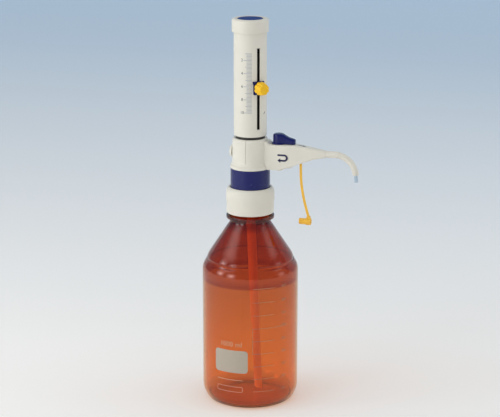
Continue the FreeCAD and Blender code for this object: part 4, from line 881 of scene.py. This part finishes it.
def lay(piece, place):
    """Moves the flat points of a piece to place(x, y), all in millimetres."""
    for vert in piece.data.vertices:
        vert.co = Vector(place(vert.co.x, vert.co.y)) * MM


def round_wall(radius, middle, height):
    """The places of flat points on a wall round the upright axis, about a middle angle."""
    def place(x, y):
        angle = math.radians(middle) + x / radius
        return radius * math.cos(angle), radius * math.sin(angle), height + y

    return place


def outwards(mesh, inside):
    """Turns every face away from the point that inside(face) gives."""
    with editing(mesh) as work:
        flip = [face for face in work.faces
                if face.normal.dot(face.calc_center_median() - inside(face)) < 0]
        bmesh.ops.reverse_faces(work, faces=flip)


def on_axis(face):
    return Vector((0, 0, face.calc_center_median().z))


def printed(mark, inside, material, body, depth=PRINT_DEPTH):
    """Finishes a mark that has been laid on its face."""
    outwards(mark.data, inside)
    thicken(mark, depth)
    paint(mark, material)
    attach(mark, body)


def print_round(name, pieces, wall, material, body, depth=PRINT_DEPTH):
    """Prints flat pieces on a wall (radius, middle angle, height)."""
    mark = join(name, pieces)
    slice_mesh(mark, wall[0] * BEND_STEP)
    lay(mark, round_wall(*wall))
    printed(mark, on_axis, material, body, depth)


def strip(x, y, length, height):
    return [(x, y - height / 2), (x + length, y - height / 2),
            (x + length, y + height / 2), (x, y + height / 2)]


def stroke(spots, width):
    """The outline of a line of even width through points."""
    points = [Vector(spot) for spot in spots]
    left, right = [], []
    for index, here in enumerate(points):
        before = points[max(index - 1, 0)]
        after = points[min(index + 1, len(points) - 1)]
        side = (after - before).normalized()
        side = Vector((-side.y, side.x)) * width / 2
        left.append(tuple(here + side))
        right.append(tuple(here - side))
    return left + right[::-1]


def between(outer, inner):
    """The band between two outlines of as many points, face by face."""
    count = len(outer)
    return [[outer[k], outer[(k + 1) % count], inner[(k + 1) % count], inner[k]]
            for k in range(count)]


# Prints on the bottle: sideways places in degrees, heights in millimetres. Panels are (left,
# right, low, high, corner radius).

BOTTLE_PRINT = 50.43
BOTTLE_LINES = {900: 133.5, 800: 118.7, 700: 104.5, 600: 90.4, 500: 76.6, 400: 62.9, 300: 49.0,
                200: 35.2, 100: 21.4}
LONG_LINE = 600
LINE_START = -72.0
LINE_END = -45.0
LONG_LINE_END = -24.7
LINE_HEIGHT = 0.5
NUMBER_MIDDLE = -31.6
NUMBER_SIZE = 4.2
NUMBER_ABOVE_LONG_LINE = 1.4
BRACKET = (-72.4, -71.8, 62.6, 90.7)
CAPACITY = (-99.0, 72.4)
CAPACITY_SIZE = 7.8
CAPACITY_THINNER = 0.06
FIELD_DEPTH = 0.05
FIELD = (-120.7, -78.0, 41.4, 66.0, 3.6)
SMALL_FRAME = (-117.8, -84.2, 20.2, 26.2, 1.6)
SMALL_FRAME_LINE = 0.4
RULE = (-117.4, 33.4, 33.0)


def make_bottle_print():
    per_degree = BOTTLE_PRINT * math.pi / 180
    wall = (BOTTLE_PRINT, 0, 0)

    def panel(place, inset=0.0):
        left, right, low, high, corner = place
        left, right = left * per_degree + inset, right * per_degree - inset
        low, high, corner = low + inset, high - inset, corner - inset
        return rounded([(left, low, corner), (right, low, corner), (right, high, corner),
                        (left, high, corner)])

    lines, numbers = [], []
    for volume, z in BOTTLE_LINES.items():
        end = LONG_LINE_END if volume == LONG_LINE else LINE_END
        lines.append(strip(LINE_START * per_degree, z, (end - LINE_START) * per_degree,
                           LINE_HEIGHT))
        above = NUMBER_ABOVE_LONG_LINE if volume == LONG_LINE else 0
        numbers.append(shifted(text_outline("volume_%d" % volume, str(volume), NUMBER_SIZE),
                               NUMBER_MIDDLE * per_degree, z + above))
    left, right, low, high = BRACKET
    left, right = left * per_degree, right * per_degree
    lines.append([(left, low), (right, low), (right, high), (left, high)])
    print_round("bottle_scale", [flat_piece("volume_lines", lines)], wall, PRINT_LINE,
                "bottle")
    print_round("bottle_numbers", numbers, wall, PRINT_FAINT, "bottle")
    middle, height = CAPACITY
    capacity = shifted(text_outline("capacity", "1000 ml", CAPACITY_SIZE, CAPACITY_THINNER),
                       middle * per_degree, height)
    print_round("bottle_capacity", [capacity], wall, PRINT_WHITE, "bottle")
    print_round("bottle_label_field", [flat_piece("label_field", [panel(FIELD)])], wall,
                PRINT_FIELD, "bottle", FIELD_DEPTH)
    band = between(panel(SMALL_FRAME), panel(SMALL_FRAME, SMALL_FRAME_LINE))
    start, height, length = RULE
    rule = strip(start * per_degree, height, length * per_degree, LINE_HEIGHT)
    print_round("bottle_small_frame", [flat_piece("small_frame", band + [rule])], wall,
                PRINT_WHITE, "bottle")


# Prints on the sleeve: the scale runs down from its zero

SLEEVE_PRINT = SLEEVE_OUT + 0.01
SLEEVE_PRINT_DEPTH = 0.03
SCALE_ZERO = 379.9
SCALE_RISE = 6.8
TICK_STEP = 0.2
TICK_START = -69.8
TICK_ENDS = {1: -88.0, 5: -92.1, 10: -99.0}
TICK_HEIGHT = 0.34
MAIN_TICK_HEIGHT = 0.42
DOSE_MIDDLE = -104.5
DASH_PLACE = (-18.6, 310.8)
DASH = [(-1.5, -0.9), (-0.7, -1.1), (1.7, 0.6), (1.2, 1.2)]


def make_sleeve_print():
    per_degree = SLEEVE_PRINT * math.pi / 180
    ticks = []
    for index in range(5, 51):
        end = [place for every, place in TICK_ENDS.items() if index % every == 0][-1]
        height = TICK_HEIGHT if index % 5 else MAIN_TICK_HEIGHT
        ticks.append(strip(end * per_degree, SCALE_ZERO - SCALE_RISE * (index * TICK_STEP),
                           (TICK_START - end) * per_degree, height))
    numbers = [
        shifted(text_outline("dose_%d" % volume, str(volume), NUMBER_SIZE),
                DOSE_MIDDLE * per_degree, SCALE_ZERO - SCALE_RISE * volume)
        for volume in (2, 4, 6, 8, 10)
    ]
    for name, pieces, place, material in (
            ("sleeve_ticks", [flat_piece("ticks", ticks)], (0, 0), PRINT_SCALE),
            ("sleeve_numbers", numbers, (0, 0), PRINT_DARK),
            ("sleeve_mark", [flat_piece("dash", [DASH])], DASH_PLACE, PRINT_DARK)):
        print_round(name, pieces, (SLEEVE_PRINT, *place), material, "plunger",
                    SLEEVE_PRINT_DEPTH)


# Arrows on the arm: its front cheek is upright, and its top falls towards the tip

CHEEK_Y = -8.005
CHEEK_INSIDE = Vector((0.035, 0, 0.264))
ARM_TOP = 277.16
ARM_TOP_START = 54.0
ARM_TOP_FALL = 0.1357
ARM_INSIDE = Vector((0.055, 0, 0.25))
RETURN_WIDTH = 1.95


def make_arm_print():
    """A return arrow on the front cheek and a small dispensing arrow on the arm's top."""
    bend = (38.2, 264.75, 2.85)
    line = [(31.1, 267.6), (38.2, 267.6)] + arc(*bend, 80, -80, 12)
    line += [(38.2, 261.9), (33.2, 261.9)]
    ribbon = stroke(line, RETURN_WIDTH)
    half = len(ribbon) // 2
    quads = [[ribbon[k], ribbon[k + 1], ribbon[-k - 2], ribbon[-k - 1]]
             for k in range(half - 1)]
    mark = flat_piece("return_arrow", quads + [[(34.2, 264.3), (31.0, 261.9), (34.2, 259.5)]])
    lay(mark, lambda x, y: (x, CHEEK_Y, y))
    printed(mark, lambda face: CHEEK_INSIDE, PRINT_BLUE, "block")
    out = flat_piece("dispense_arrow", [
        [(51.6, -0.85), (56.2, -0.85), (56.2, 0.85), (51.6, 0.85)],
        [(56.2, -2.2), (60.0, 0.0), (56.2, 2.2)],
    ])
    lay(out, lambda x, y: (x, y, ARM_TOP - ARM_TOP_FALL * (x - ARM_TOP_START)))
    printed(out, lambda face: ARM_INSIDE, PRINT_BLUE, "block")


make_bottle_print()
make_sleeve_print()
make_arm_print()


# Volume slider and its knob

SLIDER_HEIGHT = 337.6
SHOE_INSIDE = 17.4
SHOE_DEPTH = 1.3
SHOE_HALF_ANGLE = 20.0
SHOE_HALF_HEIGHT = 6.9
SHOE_BEVEL = 0.22
POINTER_LENGTH = 0.9
LOBE_COUNT = 8
LOBE_DEPTH = 0.75
LOBE_SHARPNESS = 1.5
KNOB_FACE_RADIUS = 4.6


def make_slider():
    edge = SHOE_INSIDE * math.radians(SHOE_HALF_ANGLE)
    tip = -edge - POINTER_LENGTH
    plate = flat_piece("slider_shoe", [rounded([
        (-edge, -SHOE_HALF_HEIGHT, 0.8), (edge, -SHOE_HALF_HEIGHT, 0.8),
        (edge, SHOE_HALF_HEIGHT, 0.8), (tip, SHOE_HALF_HEIGHT, 0.15), (tip, 6.3, 0.15),
        (-edge, 3.2, 0.6),
    ])])
    slice_mesh(plate, SHOE_INSIDE * BEND_STEP)
    lay(plate, round_wall(SHOE_INSIDE, SLOT_ANGLE, SLIDER_HEIGHT))
    outwards(plate.data, on_axis)
    with editing(plate.data) as work:
        bmesh.ops.solidify(work, geom=work.faces[:], thickness=-SHOE_DEPTH * MM)
    finish_mesh(plate.data)
    soften(plate, SHOE_BEVEL)
    paint(plate, MATERIALS["blue_plastic"])
    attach(plate, "slider")
    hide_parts("slider_plate")


def make_knob():
    profile = rounded([
        (0, 23.5), (1.26, 23.5), (1.26, 19.9, 0.15), (6.95, 19.9, 0.5), (6.95, 23.8, 2.5),
        (5.3, 29.4, 0.9), (3.9, 29.4, 0.3), (3.5, 29.0, 0.3), (0, 29.0),
    ], 12.0)

    def lobes(radius, along, angle):
        if radius < KNOB_FACE_RADIUS:
            return radius
        hollow = max(0.0, math.cos(LOBE_COUNT * angle)) ** LOBE_SHARPNESS
        return radius - LOBE_DEPTH * hollow

    seat = (Matrix.Translation((0, 0, SLIDER_HEIGHT))
            @ Matrix.Rotation(math.radians(SLOT_ANGLE), 4, "Z")
            @ Matrix.Rotation(math.radians(90.0), 4, "Y"))
    knob = add_piece("lobed_knob", *placed(lathe_parts(profile, 192, lobes), seat), "knob",
                     "yellow_plastic", 40.0)
    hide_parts("clamp_knob")


make_slider()
make_knob()


# Lever on the arm: stations are (along, half width, top) from its pivot

LEVER_STATIONS = [
    (-5.8, 0.9, 287.0), (-5.6, 1.9, 287.7), (-4.9, 3.25, 288.4), (-3.6, 4.6, 288.7),
    (-1.7, 5.55, 288.8), (0.4, 5.8, 288.8), (2.4, 5.3, 288.75), (4.0, 4.5, 288.5),
    (5.5, 3.85, 287.9), (7.4, 3.55, 286.8), (9.4, 3.5, 285.7), (11.5, 3.5, 284.8),
    (14.0, 3.5, 284.1), (16.0, 3.45, 283.6), (17.1, 3.0, 283.2), (17.6, 2.1, 282.7),
]
LEVER_PIVOT = 30.5
LEVER_BASE = 278.35
LEVER_CROWN = 0.04
LEVER_BEND = 1.6
LEVER_BEND_SHARE = 0.55


def make_lever():
    rows = []
    for x, half, top in LEVER_STATIONS:
        bend = min(LEVER_BEND, half * LEVER_BEND_SHARE)
        waist = (LEVER_BASE + top) / 2
        row = [(-half, LEVER_BASE), (-half, waist)]
        row += arc(-half + bend, top - bend, bend, 180, 90, 5)
        row += [(0, top + half * LEVER_CROWN)]
        row += arc(half - bend, top - bend, bend, 90, 0, 5)
        row += [(half, waist), (half, LEVER_BASE)]
        rows.append([(LEVER_PIVOT + x, y, z) for y, z in row])
    foot = placed(lathe_parts(rounded([
        (0, 278.3), (7.4, 278.3, 0.2), (7.4, 279.6, 0.5), (0, 279.6),
    ]), 96), Matrix.Translation((LEVER_PIVOT, 0, 0)))
    lever = add_piece("channel_lever", *gathered([loft(rows), foot]), "lever",
                      "blue_plastic", 50.0)
    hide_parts("valve_lever")


make_lever()


# Finishes of the solids that stay

slots = {part["node"]: part["material_slot"] for part in frame["record"]["subparts"]}
for node, solid in frame["nodes"].items():
    paint(solid, MATERIALS[slots[node]])
# The suction tube gets the orange of painted amber-stained light.
for node in ("suction_tube", "suction_tube_lower"):
    paint(frame["nodes"][node], TUBE_PAINTED_AMBER_LIGHT)


# Floor, backdrop and light, in metres

FLOOR_HALF = 5.0
FLOOR_NEAR = -3.0
FLOOR_FAR = 2.2
SWEEP_RADIUS = 1.4
BACKDROP_TOP = 4.0
FLOOR_NEAR_TONE = (0.90, 0.90, 0.89)
FLOOR_FAR_TONE = (0.55, 0.70, 0.86)
FLOOR_TONE_REACH = (0.1, 2.6)
FLOOR_GLOW = 0.12
FLOOR_ROUGHNESS = 0.75
FLOOR_SHEEN = 0.2
WORLD_LIGHT = ((1.0, 0.99, 0.97, 1), 0.62)
WORLD_ROOM = ((0.42, 0.58, 0.80, 1), 0.45)
LAMP_TARGET = (0, 0, 0.15)


def make_stage():
    """A pale floor that sweeps up far behind the object, a little bluer with distance."""
    line = [(FLOOR_NEAR, 0.0), (FLOOR_FAR, 0.0)]
    for turn in range(10, 91, 10):
        angle = math.radians(turn)
        line.append((FLOOR_FAR + SWEEP_RADIUS * math.sin(angle),
                     SWEEP_RADIUS - SWEEP_RADIUS * math.cos(angle)))
    line += [(FLOOR_FAR + SWEEP_RADIUS, BACKDROP_TOP)]
    verts, faces = [], []
    for y, z in line:
        verts += [(-FLOOR_HALF, y, z), (FLOOR_HALF, y, z)]
    for index in range(len(line) - 1):
        low = index * 2
        faces.append((low, low + 1, low + 3, low + 2))
    mesh = bpy.data.meshes.new("studio_floor")
    mesh.from_pydata(verts, [], faces)
    mesh.shade_smooth()
    floor = add_object("studio_floor", mesh)
    material, nodes, links, shader = new_material("studio_floor")
    set_inputs(shader, {"Roughness": FLOOR_ROUGHNESS, "Specular IOR Level": FLOOR_SHEEN})
    depth = along_axis(nodes, links, "Y", *FLOOR_TONE_REACH)
    tone = blended(nodes, links, depth, FLOOR_NEAR_TONE, FLOOR_FAR_TONE)
    links.new(tone, shader.inputs["Base Color"])
    seen = nodes.new("ShaderNodeEmission")
    links.new(tone, seen.inputs["Color"])
    in_view = any_ray(nodes, links, ("Is Camera Ray", "Is Glossy Ray", "Is Transmission Ray"))
    links.new(spread(nodes, links, in_view, 0.0, FLOOR_GLOW, 0.0, 1.0),
              seen.inputs["Strength"])
    both = nodes.new("ShaderNodeAddShader")
    links.new(shader.outputs["BSDF"], both.inputs[0])
    links.new(seen.outputs["Emission"], both.inputs[1])
    links.new(both.outputs["Shader"], nodes["Material Output"].inputs["Surface"])
    paint(floor, material)


def make_world():
    """Even soft light, with a deeper tone where a glossy surface mirrors the room."""
    world = bpy.data.worlds.new("studio")
    world.use_nodes = True
    nodes, links = world.node_tree.nodes, world.node_tree.links
    light, room = nodes["Background"], nodes.new("ShaderNodeBackground")
    for node, (colour, strength) in ((light, WORLD_LIGHT), (room, WORLD_ROOM)):
        set_inputs(node, {"Color": colour, "Strength": strength})
    surface = mixed(nodes, links, any_ray(nodes, links, ("Is Glossy Ray",)),
                    light.outputs["Background"], room.outputs["Background"])
    links.new(surface, nodes["World Output"].inputs["Surface"])
    bpy.context.scene.world = world


def softbox(name, place, size, power, edge):
    """A softbox that fades towards its edges over a share of its width."""
    lamp = bpy.data.lights.new(name, "AREA")
    lamp.shape = "RECTANGLE"
    lamp.size, lamp.size_y = size
    lamp.energy = power
    lamp.use_nodes = True
    nodes, links = lamp.node_tree.nodes, lamp.node_tree.links
    surface = nodes.new("ShaderNodeNewGeometry")
    split = nodes.new("ShaderNodeSeparateXYZ")
    links.new(surface.outputs["Parametric"], split.inputs["Vector"])
    both = nodes.new("ShaderNodeMath")
    both.operation = "MULTIPLY"
    for number, way in enumerate("XY"):
        inset = nodes.new("ShaderNodeMath")
        inset.operation = "PINGPONG"
        inset.inputs[1].default_value = 0.5
        links.new(split.outputs[way], inset.inputs[0])
        fade = nodes.new("ShaderNodeMapRange")
        fade.interpolation_type = "SMOOTHSTEP"
        fade.inputs["From Max"].default_value = edge
        links.new(inset.outputs["Value"], fade.inputs["Value"])
        links.new(fade.outputs["Result"], both.inputs[number])
    links.new(both.outputs["Value"], nodes["Emission"].inputs["Strength"])
    holder = add_object(name, lamp)
    holder.location = place
    aim(holder, LAMP_TARGET)


make_stage()
make_world()
for name, place, size, power, edge in (
        ("left_side", (-1.149, -0.608, 0.50), (0.70, 1.00), 6.2, 0.4),
        ("left_front", (-0.695, -1.099, 0.42), (0.70, 1.00), 6.2, 0.4),
        ("left_side_core", (-1.126, -0.596, 0.49), (0.32, 0.40), 1.6, 0.5),
        ("left_front_core", (-0.681, -1.077, 0.41), (0.32, 0.40), 1.6, 0.5),
        ("right_side", (1.3, 0.09, 0.35), (0.7, 0.9), 3.5, 0.5),
        ("left_high", (-1.03, -0.48, 1.15), (1.8, 0.8), 8.0, 0.45),
        ("right_high", (1.04, 0.44, 1.15), (1.7, 0.8), 7.0, 0.45)):
    softbox(name, place, size, power, edge)
bpy.context.scene.view_settings.view_transform = "Standard"


# Last update of the scene

bpy.context.view_layer.update()
